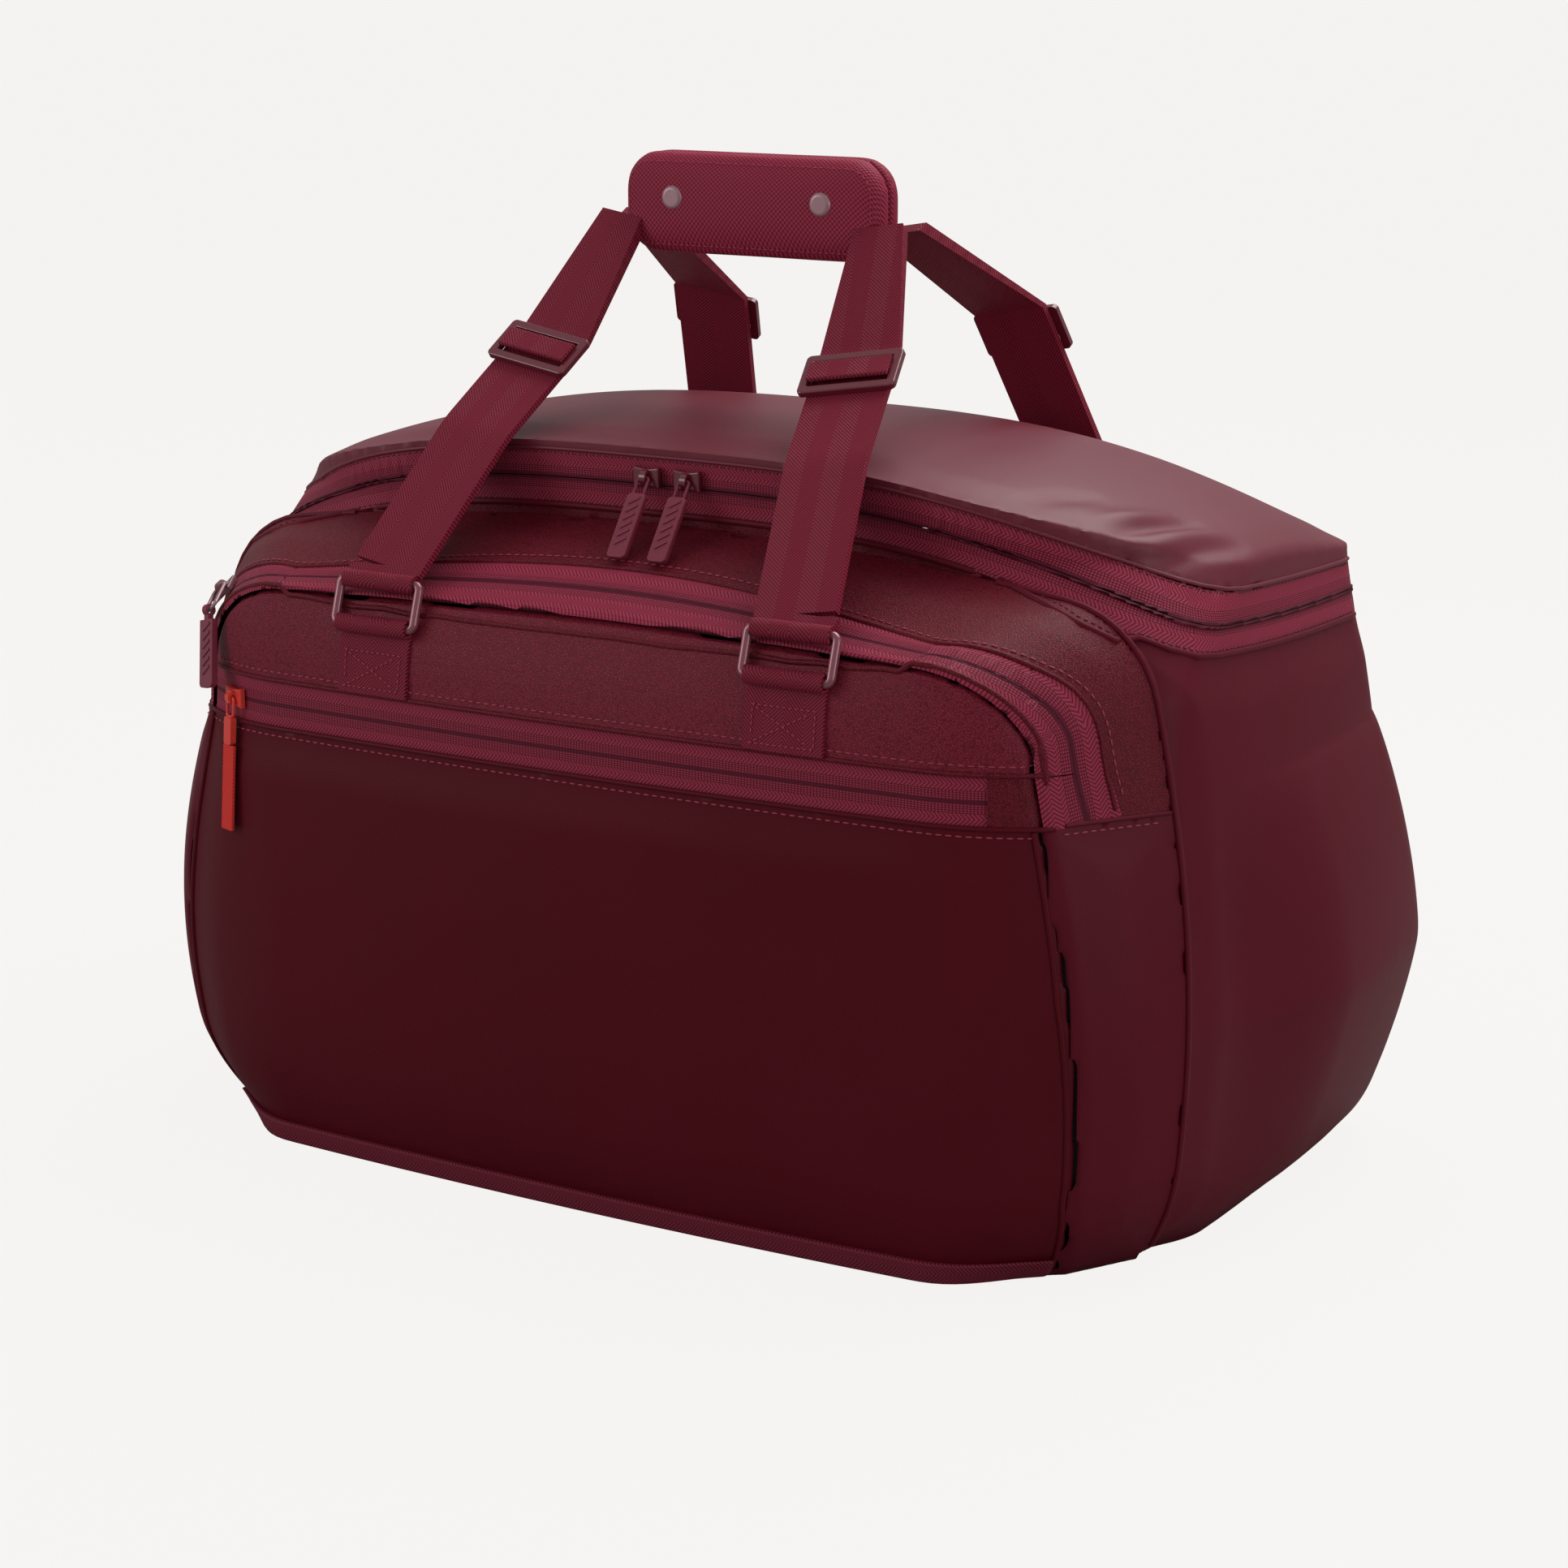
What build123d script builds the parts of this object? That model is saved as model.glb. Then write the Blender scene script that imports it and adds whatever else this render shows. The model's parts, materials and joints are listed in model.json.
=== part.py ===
from build123d import *
import os
from math import asin, atan2, cos, degrees, hypot, radians, sin, sqrt

os.makedirs("parts", exist_ok=True)

# A racket tournament duffel. X runs along the bag, Y from its front to its back and Z up.
# The origin is on the floor under the middle of the bag. All sizes are in millimetres.

# ---------------------------------------------------------------- driving dimensions
PANEL = 4.0              # padded panel, foam and both fabrics
TAPE = 1.8               # zip tape with its backing
TAPE_HALF = 12.0         # lid zip, from the teeth to the edge of one tape
COIL_PROUD = 0.8         # the coil stands this far out of its tape
COIL_HALF = 1.3          # half height of the lid coil
PART_GAP = 0.2           # each half coil stops this far from the parting line
SEAT = 0.3               # running clearance between pieces

SEAM_Y = -83.0           # plane where the front compartment joins the main one
WALL_Y = SEAM_Y + 0.6    # front of the main compartment behind that seam
HINGE_Z = 262.0          # straight hinge seam at the back of the lid
HINGE_SEAT = 0.6         # the hinge line lies this far behind the back panel
RIM_FRONT = 322.0        # lid zip line at the middle of the front
RIM_DROOP = 3.05e-6      # the zip line falls by this times the cube of x
CREST_DROOP = 3.1e-6     # the lid top falls by this times the cube of x
ZIP_END_Y = 118.0        # the lid zip stops here on both ends of the bag
YOKE_HALF = 160.0        # half length of the strip under the front of the lid zip
BACK_SEAM_X = 225.0      # upright seams between the back and the end panels
BACK_SEAM_Y = 100.0
BACK_CROWN = 4.0
BACK_CORNER = 36.0

POCKET_LOW = 202.0       # lower and upper hems of the pocket zip
POCKET_HIGH = 223.4
POCKET_END = 197.0       # the pocket zip stops here at its right end
FLAP_GAP = 0.6
ARCH_NARROW = 0.7        # the arch zip narrows to this share, along Y, on the ends of the bag
ARCH_TAPE = 9.6          # width of one arch tape, along Y
ARCH_COIL = 1.0
ARCH_GAP = 0.4
LINING = 1.0             # pocket lining and how far it lies behind the front panel
LINING_DEPTH = 2.0
LINING_LOW = 30.0
BOARD = 3.0              # base board inside the main compartment
BOARD_EDGE = 9.0
BINDING = 4.0            # binding along the front bottom edge
BINDING_TOP = 10.5
BINDING_HALF = 226.0

WEB = 38.0               # webbing width and thickness
WEB_T = 1.7
NECK = 7.5               # straight start of a strap over its loop
LOOP_WIRE = 2.1          # radius of the wire of the rectangular loops
LOOP_RISE = 20.0         # between the two bars of a loop
LOOP_SIDE = 21.5         # from the middle of a loop to its side bars
STRAP_FOOT = 106.5       # x of the strap feet
STRAP_YAW = 10.6         # the straps lean together by this angle
PATCH_T = 2.4
PATCH_DROP = 31.0        # height of an anchor patch under its loop bar

SLIDE_LONG = 46.0        # triglide length, height, thickness and bar width
SLIDE_TALL = 23.0
SLIDE_T = 3.0
SLIDE_BAR = 4.2

GRIP_Y = 4.0             # parting plane, half length, bottom, top and thickness of the grip
GRIP_HALF = 68.0
GRIP_LOW = 411.0
GRIP_HIGH = 457.5
GRIP_T = 12.5
GRIP_CORNER = 17.0
SNAP_X = 39.0
SNAP_Z = 437.0
SNAP_R = 5.6
STUD_R = 3.0
STUD_LONG = 1.2
STUD_ROOM = 1.3

# Main compartment: height, half length at the seam, at mid depth and at the back,
# front corner radius, y of the front and of the middle of the back
MAIN = [
    (0.0, 244.0, 248.0, 240.0, 8.0, WALL_Y, 144.0),
    (14.0, 251.0, 258.0, 250.0, 8.0, WALL_Y, 151.0),
    (100.0, 257.0, 271.0, 260.0, 8.0, WALL_Y, 154.0),
    (205.0, 249.0, 261.0, 252.0, 10.0, WALL_Y, 151.0),
    (245.0, 245.0, 253.0, 248.0, 26.0, WALL_Y, 147.5),
    (275.0, 243.0, 248.0, 245.0, 66.0, WALL_Y, 144.5),
    (300.0, 242.0, 246.0, 243.0, 108.0, WALL_Y, 141.0),
    (345.0, 242.0, 246.0, 243.0, 120.0, WALL_Y - 3.0, 133.0),
]
# Lid top: y and height of the crest, and its share of the droop there
LID_CREST = [(-95, 334.5, 1), (-45, 338.5, 1), (20, 340, 1), (70, 336, 1),
             (103, 322, 0.8), (128, 297, 0.35), (149, 268, 0.02)]
# Front face: height and how far its middle and its ends lie behind the foremost line
FACE_LEAN = [(-2, 6, 6), (40, 1.4, 1.4), (130, -0.6, -0.6), (205, 0, 0),
             (224, 0.2, 0), (246, 4.6, 1.5), (268, 12.5, 4), (310, 33, 16)]
FACE_Y = -156.0          # foremost line of the front face
FACE_ARC_X = 165.0       # the flat middle arc ends here
FACE_ARC_DROP = 4.5
FACE_END_X = 222.0       # a point of the rounded ends
FACE_END_DROP = 27.0
FACE_CUT_X = 214.0       # past this the plan line runs on straight
FACE_REACH = 300.0
# Loaf profiles of the front compartment at the seam and at the foremost plane:
# half length at the floor, bulge height and half length there, corner point, corner radius, crest
LOAF_SEAM = (251.0, 80.0, 260.0, 234.0, 282.0, 50.0, 301.0)
LOAF_FACE = (208.0, 90.0, 206.0, 202.0, 266.0, 47.0, 263.5)


# ---------------------------------------------------------------- shared shapes
def box(x0, x1, y0, y1, z0, z1):
    """A plain box between two corners."""
    return Pos((x0 + x1) / 2, (y0 + y1) / 2, (z0 + z1) / 2) * Box(x1 - x0, y1 - y0, z1 - z0)


def slab(z0, z1):
    """Everything between two heights."""
    return box(-400, 400, -300, 300, z0, z1)


def main_section(row, inset):
    """One level outline of the main compartment."""
    z, seam, mid, back, corner, front_y, back_y = row
    front = front_y + inset
    rear = back_y - BACK_CROWN - inset
    corners = [(-seam + inset, front), (seam - inset, front), (back - inset, rear), (-back + inset, rear)]
    side = (mid - inset, (front + rear) / 2)
    outline = make_face([
        Line(corners[0], corners[1]),
        ThreePointArc(corners[1], side, corners[2]),
        ThreePointArc(corners[2], (0, rear + BACK_CROWN), corners[3]),
        ThreePointArc(corners[3], (-side[0], side[1]), corners[0]),
    ])
    outline = fillet(outline.vertices().group_by(Axis.Y)[0], max(corner - inset, 3.0))
    outline = fillet(outline.vertices().group_by(Axis.Y)[-1], BACK_CORNER - inset)
    return Pos(0, 0, z) * outline


def main_form(inset=0.0):
    """The main compartment and lid as one block, its walls moved in by the inset."""
    return loft([main_section(row, inset) for row in MAIN], ruled=True)


def main_half(outside, inside):
    """The right half of the upright wall between two insets."""
    sections = []
    for row in MAIN:
        right = Pos(200, 0, row[0]) * Rectangle(400, 800)
        sections.append((main_section(row, outside) - main_section(row, inside)) & right)
    return loft(sections, ruled=True)


def both_halves(right):
    """A right-hand solid with its mirrored left."""
    return right + mirror(right, about=Plane.YZ)


def droop_face(y, crest, droop):
    """An upright face with a top edge that falls with the cube of x."""
    half = 300
    steps = [half * (1 - i / 6) for i in range(13)]
    top = [(x, crest - droop * abs(x) ** 3) for x in steps]
    edges = [
        Line((-half, -20), (half, -20)),
        Line((half, -20), top[0]),
        Spline(top),
        Line(top[-1], (-half, -20)),
    ]
    return Location((0, y, 0), (90, 0, 0)) * make_face(edges)


def under_rim(rise):
    """Everything under the lid zip line, moved up by the rise."""
    front = droop_face(-100, RIM_FRONT + rise, RIM_DROOP)
    back = droop_face(160, HINGE_Z + rise, RIM_DROOP * 1e-3)
    return loft([front, back], ruled=True)


def under_crest(drop=0.0):
    """Everything under the lid top."""
    return loft([droop_face(y, z - drop, CREST_DROOP * share) for y, z, share in LID_CREST])


def face_arcs():
    """Radius and centre of the middle arc and of the right end arc of the front face in plan."""
    middle = (FACE_ARC_X ** 2 + FACE_ARC_DROP ** 2) / (2 * FACE_ARC_DROP)
    start = asin(FACE_ARC_X / middle)
    run_x = FACE_END_X - FACE_ARC_X
    run_y = FACE_END_DROP - FACE_ARC_DROP
    half_turn = atan2(run_y, run_x) - start
    end = hypot(run_x, run_y) / (2 * sin(half_turn))
    centre = (FACE_ARC_X - end * sin(start), FACE_Y + FACE_ARC_DROP + end * cos(start))
    return middle, end, centre


def face_y(x):
    """Plan line of the front face."""
    middle, end, centre = face_arcs()
    if abs(x) <= FACE_ARC_X:
        return FACE_Y + middle - sqrt(middle ** 2 - x ** 2)
    run = min(abs(x), FACE_CUT_X) - centre[0]
    back = sqrt(end ** 2 - run ** 2)
    return centre[1] - back + max(abs(x) - FACE_CUT_X, 0) * run / back


def face_curve(middle_shift, end_shift):
    """The plan line of the front face, its middle and its ends moved back."""
    between = (FACE_ARC_X + FACE_CUT_X) / 2
    stops = [-FACE_REACH, -FACE_CUT_X, -between, -FACE_ARC_X, 0, FACE_ARC_X, between, FACE_CUT_X, FACE_REACH]
    points = [(x, face_y(x) + (middle_shift if x == 0 else end_shift)) for x in stops]
    return [
        Line(points[0], points[1]),
        ThreePointArc(*points[1:4]),
        ThreePointArc(*points[3:6]),
        ThreePointArc(*points[5:8]),
        Line(points[7], points[8]),
    ]


def face_layer(shift, thick, share=1.0):
    """A layer that follows the front face, from the shift back to the shift and its thickness."""
    sections = []
    for z, middle_lean, end_lean in FACE_LEAN:
        front = face_curve(middle_lean + shift, end_lean + shift * share)
        back = face_curve(middle_lean + shift + thick, end_lean + (shift + thick) * share)
        sides = [Line(front[0] @ 0, back[0] @ 0), Line(front[-1] @ 1, back[-1] @ 1)]
        sections.append(Pos(0, 0, z) * make_face(front + back + sides))
    return loft(sections, ruled=True)


def loaf(y, shape, inset=0.0):
    """An upright loaf-shaped face of the front compartment."""
    floor, bulge_z, bulge, corner_x, corner_z, corner_r, crest = shape
    base = [(-floor + inset, -1), (floor - inset, -1)]
    top = [(corner_x - inset, corner_z - inset), (-corner_x + inset, corner_z - inset)]
    face = make_face([
        Line(base[0], base[1]),
        ThreePointArc(base[1], (bulge - inset, bulge_z), top[0]),
        ThreePointArc(top[0], (0, crest - inset), top[1]),
        ThreePointArc(top[1], (-bulge + inset, bulge_z), base[0]),
    ])
    face = fillet(face.vertices().group_by(Axis.Y)[-1], corner_r - inset)
    return Location((0, y, 0), (90, 0, 0)) * face


def loaf_form(inset=0.0):
    """The ruled block of the front compartment between its seam and its foremost plane."""
    return loft([loaf(SEAM_Y, LOAF_SEAM, inset), loaf(FACE_Y - 2, LOAF_FACE, inset)], ruled=True)


def loaf_skin(thick):
    """The outer layer of that block, open at the floor."""
    ends = [(SEAM_Y, LOAF_SEAM), (FACE_Y - 2, LOAF_FACE)]
    return loft([loaf(y, shape) - loaf(y, shape, thick) for y, shape in ends], ruled=True)


# ---------------------------------------------------------------- panels of the main compartment
def main_panels():
    """Divider, yoke, end and back panels around the main compartment."""
    zip_zone = box(-400, 400, -200, ZIP_END_Y, -10, 400)
    back_zone = box(-BACK_SEAM_X, BACK_SEAM_X, BACK_SEAM_Y, 300, -10, 400)
    yoke_zone = box(-YOKE_HALF, YOKE_HALF, -200, 0, 200, 400)
    divider_back = WALL_Y + PANEL + 0.1
    wall = main_half(0.0, PANEL) & slab(PANEL, 400)
    under_zip = wall & under_rim(-TAPE_HALF)
    under_hinge = (wall - zip_zone) & under_rim(-PART_GAP)
    seam_block = extrude(loaf(SEAM_Y - 2, LOAF_SEAM), PANEL + 3, dir=(0, 1, 0))
    divider = extrude(loaf(SEAM_Y, LOAF_SEAM), PANEL, dir=(0, 1, 0))
    yoke = (under_zip & yoke_zone) - seam_block
    sides = (under_zip + under_hinge) & box(-400, 400, divider_back, 300, 0, 400)
    end = sides - back_zone - yoke_zone
    return {
        "divider_panel": divider & slab(PANEL, 400) & under_rim(-TAPE_HALF - SEAT),
        "front_yoke": both_halves(yoke),
        "back_panel": both_halves(sides & back_zone),
        "end_panel_right": end,
        "end_panel_left": mirror(end, about=Plane.YZ),
    }


def lid_zip():
    """Tapes and half coils of the lid zip, below and above the parting line."""
    zone = box(-400, 400, -200, ZIP_END_Y, 0, 400)
    layers = {"tape": main_half(0.0, TAPE) & zone, "coil": main_half(-COIL_PROUD, TAPE) & zone}
    bands = {
        ("tape", "lower"): (-TAPE_HALF, -COIL_HALF),
        ("coil", "lower"): (-COIL_HALF, -PART_GAP),
        ("coil", "upper"): (PART_GAP, COIL_HALF),
        ("tape", "upper"): (COIL_HALF, TAPE_HALF),
    }
    parts = {}
    for (kind, place), (low, high) in bands.items():
        parts[f"lid_zip_{kind}_{place}"] = both_halves((layers[kind] & under_rim(high)) - under_rim(low))
    return parts


def lid_panel():
    """The crowned lid with its short turned-down border and back."""
    border = main_half(0.0, PANEL) & under_crest()
    zip_zone = box(-400, 400, -200, ZIP_END_Y, -10, 400)
    border = ((border & zip_zone) - under_rim(TAPE_HALF)) + ((border - zip_zone) - under_rim(PART_GAP))
    crown = main_form(PANEL) & (under_crest() - under_crest(PANEL))
    crown = ((crown & zip_zone) - under_rim(TAPE_HALF)) + ((crown - zip_zone) - under_rim(PART_GAP))
    return both_halves(border) + crown


# ---------------------------------------------------------------- front compartment
def front_panels():
    """Face, gussets, arch zip, pocket zip and lining of the front compartment."""
    inside = loaf_form(PANEL)
    skin = loaf_skin(PANEL)
    band = loaf_skin(TAPE)
    depth = SEAM_Y - FACE_Y + 60
    coil_start = ARCH_TAPE
    coil_end = coil_start + ARCH_COIL
    outer_start = coil_end + ARCH_GAP
    tape_start = outer_start + ARCH_COIL
    arch_end = tape_start + ARCH_TAPE
    face = face_layer(0.0, PANEL) & inside
    strip = face_layer(LINING, TAPE) & inside
    lining = face_layer(PANEL + LINING_DEPTH, LINING) & inside
    gusset_low = skin & face_layer(0.0, depth) & slab(PANEL, POCKET_LOW)
    inner_tape = band & face_layer(0.0, coil_start, ARCH_NARROW)
    inner_coil = band & face_layer(coil_start, ARCH_COIL, ARCH_NARROW)
    outer_coil = band & face_layer(outer_start, ARCH_COIL, ARCH_NARROW)
    outer_tape = band & face_layer(tape_start, ARCH_TAPE, ARCH_NARROW)
    over_flap = slab(POCKET_HIGH + FLAP_GAP, 400)
    over_hem = slab(POCKET_LOW, 400)
    foot = slab(POCKET_LOW, POCKET_HIGH)
    zip_line = (POCKET_LOW + POCKET_HIGH) / 2
    left = box(-400, 0, -300, 0, 0, 400)
    right = box(0, 400, -300, 0, 0, 400)
    zip_zone = box(-400, POCKET_END, -300, 0, 0, 400)
    end_zone = box(POCKET_END, 400, -300, 0, 0, 400)
    binding_zone = box(-BINDING_HALF, BINDING_HALF, -300, 0, 1.0, BINDING_TOP)
    return {
        "front_panel_lower": face & slab(PANEL, POCKET_LOW),
        "flap_panel": face & over_flap,
        "pocket_end_panel": face & foot & end_zone,
        "pocket_zip_tape": (strip & zip_zone & foot) - slab(zip_line - ARCH_COIL, zip_line + ARCH_COIL),
        "pocket_zip_coil": strip & zip_zone & slab(zip_line - ARCH_COIL, zip_line + ARCH_COIL),
        "pocket_lining": lining & slab(LINING_LOW, POCKET_HIGH),
        "side_gusset_left": gusset_low & left,
        "side_gusset_right": gusset_low & right,
        "top_gusset": skin & face_layer(arch_end, depth, ARCH_NARROW) & over_hem,
        "arch_zip_tape_inner": inner_tape & over_flap,
        "arch_zip_coil_inner": inner_coil & over_flap,
        "arch_zip_tape_outer": (outer_tape & over_hem) + (inner_tape & foot),
        "arch_zip_coil_outer": (outer_coil & over_hem) + (inner_coil & foot),
        "bottom_binding": face_layer(-BINDING, BINDING) & binding_zone,
        "front_base": loaf_form() & face_layer(0.0, depth) & slab(0, PANEL),
    }


# ---------------------------------------------------------------- handles
class Handle:
    """Where one handle's hinge bar, strap bend, triglide and grip end lie in the YZ plane."""

    def __init__(self, side, bar, loop_angle, bend, slide, grip_end):
        self.side = side
        self.bar = bar
        self.loop_angle = loop_angle
        self.far = step(bar, loop_angle, LOOP_RISE)
        self.bend = bend
        self.slide = slide
        self.grip_end = grip_end
        self.low_angle = degrees(atan2(bend[1] - self.far[1], bend[0] - self.far[0]))
        self.high_angle = degrees(atan2(slide[1] - bend[1], slide[0] - bend[0]))


def step(start, angle, distance):
    """A point at a distance from the start, at an angle above +Y."""
    return start[0] + distance * cos(radians(angle)), start[1] + distance * sin(radians(angle))


FRONT = Handle("front", (-152.6, 256.0), 72.0, (-92.0, 338.0), (-42.0, 378.0), (-3.0, 429.0))
BACK = Handle("back", (153.2, 246.0), 95.0, (136.0, 298.0), (92.0, 385.0), (11.0, 429.0))


def outward(handle, angle):
    """The direction out of a strap that runs at an angle, away from the bag."""
    side = -1 if handle.side == "front" else 1
    return 0, side * abs(sin(radians(angle))), abs(cos(radians(angle)))


def yawed(handle, shape, hand):
    """Leans a strap or its triglide toward the middle of the bag, about the upper bar of its loop."""
    axis = Axis((hand * STRAP_FOOT, *handle.far), outward(handle, handle.low_angle))
    sign = hand if handle.side == "front" else -hand
    return shape.rotate(axis, sign * STRAP_YAW)


def wire_loop(handle, hand):
    """A rectangular wire loop, its lower bar on the hinge line of the handle."""
    x = hand * STRAP_FOOT
    corners = [
        (x - LOOP_SIDE, *handle.bar), (x + LOOP_SIDE, *handle.bar),
        (x + LOOP_SIDE, *handle.far), (x - LOOP_SIDE, *handle.far),
    ]
    path = FilletPolyline(*corners, radius=LOOP_WIRE * 1.3, close=True)
    start = path.edges().sort_by(Axis.Z)[0]
    return sweep(Plane(origin=start @ 0.5, z_dir=start % 0.5) * Circle(LOOP_WIRE), path=path)


def strap(handle, hand):
    """One webbing leg: folded round the loop, doubled up to the triglide and on to the grip."""
    fold = LOOP_WIRE + SEAT
    x = hand * STRAP_FOOT
    across = (1, 0, 0)
    bar = Location((x, *handle.far), (0, 90, 0))
    neck_end = step(handle.far, handle.low_angle, NECK)
    neck_way = (0, cos(radians(handle.low_angle)), sin(radians(handle.low_angle)))
    neck = Plane(origin=(x, *handle.far), x_dir=across, z_dir=neck_way) * Rectangle(WEB, 2 * WEB_T)
    sleeve = bar * Cylinder(fold + WEB_T, WEB) + extrude(neck, NECK, dir=neck_way)
    path = FilletPolyline((x, *neck_end), (x, *handle.bend), (x, *handle.slide), radius=60)
    web = sweep(Plane(origin=path @ 0, x_dir=across, z_dir=path % 0) * Rectangle(WEB, 2 * WEB_T), path=path)
    top = Plane(origin=path @ 1, x_dir=across, z_dir=path % 1)
    end = Plane(origin=(x, *handle.grip_end), x_dir=across, z_dir=path % 1)
    taper = loft([top * Rectangle(WEB, 2 * WEB_T), end * Rectangle(WEB * 0.62, 4 * WEB_T)])
    return (yawed(handle, web + taper, hand) + sleeve) - bar * Cylinder(fold, WEB + 2)


def grip_pad(handle):
    """One half of the clamshell grip."""
    front = handle.side == "front"
    mid_z = (GRIP_LOW + GRIP_HIGH) / 2
    outline = RectangleRounded(2 * GRIP_HALF, GRIP_HIGH - GRIP_LOW, GRIP_CORNER)
    pad = extrude(outline, GRIP_T - SEAT / 2)
    pad = fillet(pad.edges().group_by(Axis.Z)[-1], 9.0)
    if front:
        return Location((0, GRIP_Y - SEAT / 2, mid_z), (90, 0, 0)) * pad
    return Location((0, GRIP_Y + SEAT / 2, mid_z), (-90, 0, 0)) * pad


def snap_caps():
    """Domed caps on the front half of the grip."""
    cap = Cylinder(SNAP_R, 2.4, align=(Align.CENTER, Align.CENTER, Align.MIN))
    cap = fillet(cap.edges().group_by(Axis.Z)[-1], 2.0)
    return [Location((side * SNAP_X, GRIP_Y - GRIP_T, SNAP_Z), (90, 0, 0)) * cap for side in (-1, 1)]


def snap_studs():
    """Studs on the back half that press into the sockets of the front half."""
    stud = Cylinder(STUD_R, STUD_LONG + SEAT, align=(Align.CENTER, Align.CENTER, Align.MIN))
    return [Location((side * SNAP_X, GRIP_Y + SEAT / 2, SNAP_Z), (90, 0, 0)) * stud for side in (-1, 1)]


def triglide(handle, hand):
    """A three-bar slide lying on its strap, and the webbing fold over its middle bar."""
    window = Rectangle(SLIDE_LONG - 2 * SLIDE_BAR, SLIDE_TALL - 2 * SLIDE_BAR)
    frame = RectangleRounded(SLIDE_LONG, SLIDE_TALL, 2.4) - window + Rectangle(SLIDE_LONG - 2, SLIDE_BAR * 0.8)
    frame = extrude(frame, SLIDE_T)
    frame = fillet(frame.edges().group_by(Axis.Z)[-1], 0.8)
    fold = Pos(0, 0, SLIDE_T + SEAT) * Box(WEB, 11.0, WEB_T, align=(Align.CENTER, Align.CENTER, Align.MIN))
    fold = fillet(fold.edges().filter_by(Axis.X).group_by(Axis.Z)[-1], WEB_T * 0.6)
    seat = step(handle.slide, handle.high_angle, -SLIDE_TALL / 2 - 2)
    normal = outward(handle, handle.high_angle)
    lift = WEB_T + SEAT
    origin = (hand * STRAP_FOOT, seat[0] + lift * normal[1], seat[1] + lift * normal[2])
    place = Plane(origin=origin, x_dir=(1, 0, 0), z_dir=normal).location
    return yawed(handle, place * frame, hand), yawed(handle, place * fold, hand)


def anchor_patch(handle, hand, wall):
    """A stitched webbing patch on its wall, folded round the lower bar of its loop."""
    bar_y, bar_z = handle.bar
    x = hand * STRAP_FOOT
    fold = LOOP_WIRE + SEAT
    sleeve = Cylinder(fold + WEB_T, WEB) - Cylinder(fold, WEB + 2)
    sleeve = Location((x, bar_y, bar_z), (0, 90, 0)) * sleeve
    bore = Location((x, bar_y, bar_z), (0, 90, 0)) * Cylinder(fold, WEB + 2)
    room = 12
    ends = (bar_y - room, bar_y + 2 * room) if handle.side == "front" else (bar_y - 2 * room, bar_y + room)
    patch = wall & box(x - WEB / 2, x + WEB / 2, *ends, bar_z - PATCH_DROP, bar_z + 1)
    return (patch + sleeve) - bore


# ---------------------------------------------------------------- zip sliders and pulls
SLIDER_T = 2.6           # plate of a slider, its bridge and the hoop through it
BRIDGE_R = 3.4
BRIDGE_HOLE = 2.0
BRIDGE_WIDE = 3.0
EYE_RISE = 1.0
HOOP_WIRE = 0.7
HOOP_WIDE = 5.2
HOOP_LONG = 9.0
PULL_WIDE = 9.5
PULL_T = 3.0
LID_SLIDER_X = {"left": -4.0, "right": 17.0}
LID_SLIDER_Y = WALL_Y - COIL_PROUD - 1.5 - SEAT
LID_PULL_ANGLE = 54.0    # below the level, forward
LID_PULL_LONG = 40.0
ARCH_SLIDER = (-211.0, -124.0, 255.0)
ARCH_OUT = (-0.55, -0.53, 0.64)
ARCH_ALONG = (0.80, -0.05, 0.60)
PULL_AXIS = (0.95, -0.2, 0.24)
PULL_WAY = (0.12, -0.27, -0.95)
ARCH_PULL_LONG = 36.0
PULL_BORE = 1.9
RING_WIRE = 0.9
RING_WIDE = 9.0
RING_LONG = 18.0
POCKET_SLIDER_X = 192.0
POCKET_PULL_LONG = 22.0
POCKET_PULL_TILT = 4.0
TAIL_LONG = 40.0
TAIL_WIDE = 9.0
TAIL_T = 1.4


def slider_body(turn=0.0):
    """A zip slider with its back on the XY plane, its nose turned from Y, and a bridge over the X axis."""
    nose = Polygon((-4.5, -6.5), (4.5, -6.5), (3.6, 0), (4.5, 6.5), (-4.5, 6.5), (-3.6, 0), align=None)
    plate = extrude(nose, SLIDER_T)
    plate = Rot(0, 0, turn) * fillet(plate.edges().group_by(Axis.Z)[-1], 0.7)
    arch = Pos(0, 0, SLIDER_T) * Rot(0, 90, 0) * (Cylinder(BRIDGE_R, BRIDGE_WIDE) - Cylinder(BRIDGE_HOLE, 9))
    return plate + (arch & box(-5, 5, -8, 8, SLIDER_T - 0.6, 20))


def hoop(wide, long, wire):
    """A wire hoop hanging down Y from the X axis."""
    half = wide / 2
    path = FilletPolyline((-half, 0, 0), (half, 0, 0), (half, -long, 0), (-half, -long, 0),
                          radius=half * 0.6, close=True)
    start = path.edges().sort_by(Axis.Y)[-1]
    return sweep(Plane(origin=start @ 0.5, z_dir=start % 0.5) * Circle(wire), path=path)


def pull_tab(long):
    """A ribbed pull hanging down Y from its hoop."""
    reach = long - HOOP_LONG + HOOP_WIRE
    tab = Pos(0, -HOOP_LONG - reach / 2 + HOOP_WIRE, 0) * RectangleRounded(PULL_WIDE, reach, 2.2)
    tab = Pos(0, 0, -PULL_T / 2) * extrude(tab, PULL_T)
    tab = fillet(tab.edges().group_by(Axis.Z)[-1] + tab.edges().group_by(Axis.Z)[0], 0.6)
    ribs = [Pos(0, -HOOP_LONG - 3 - 4 * i, PULL_T / 2) * Rot(0, 0, 35) * Box(6.0, 1.2, 1.0)
            for i in range(int((long - HOOP_LONG - 5) / 4))]
    return tab + hoop(HOOP_WIDE, HOOP_LONG, HOOP_WIRE) + ribs


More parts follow.
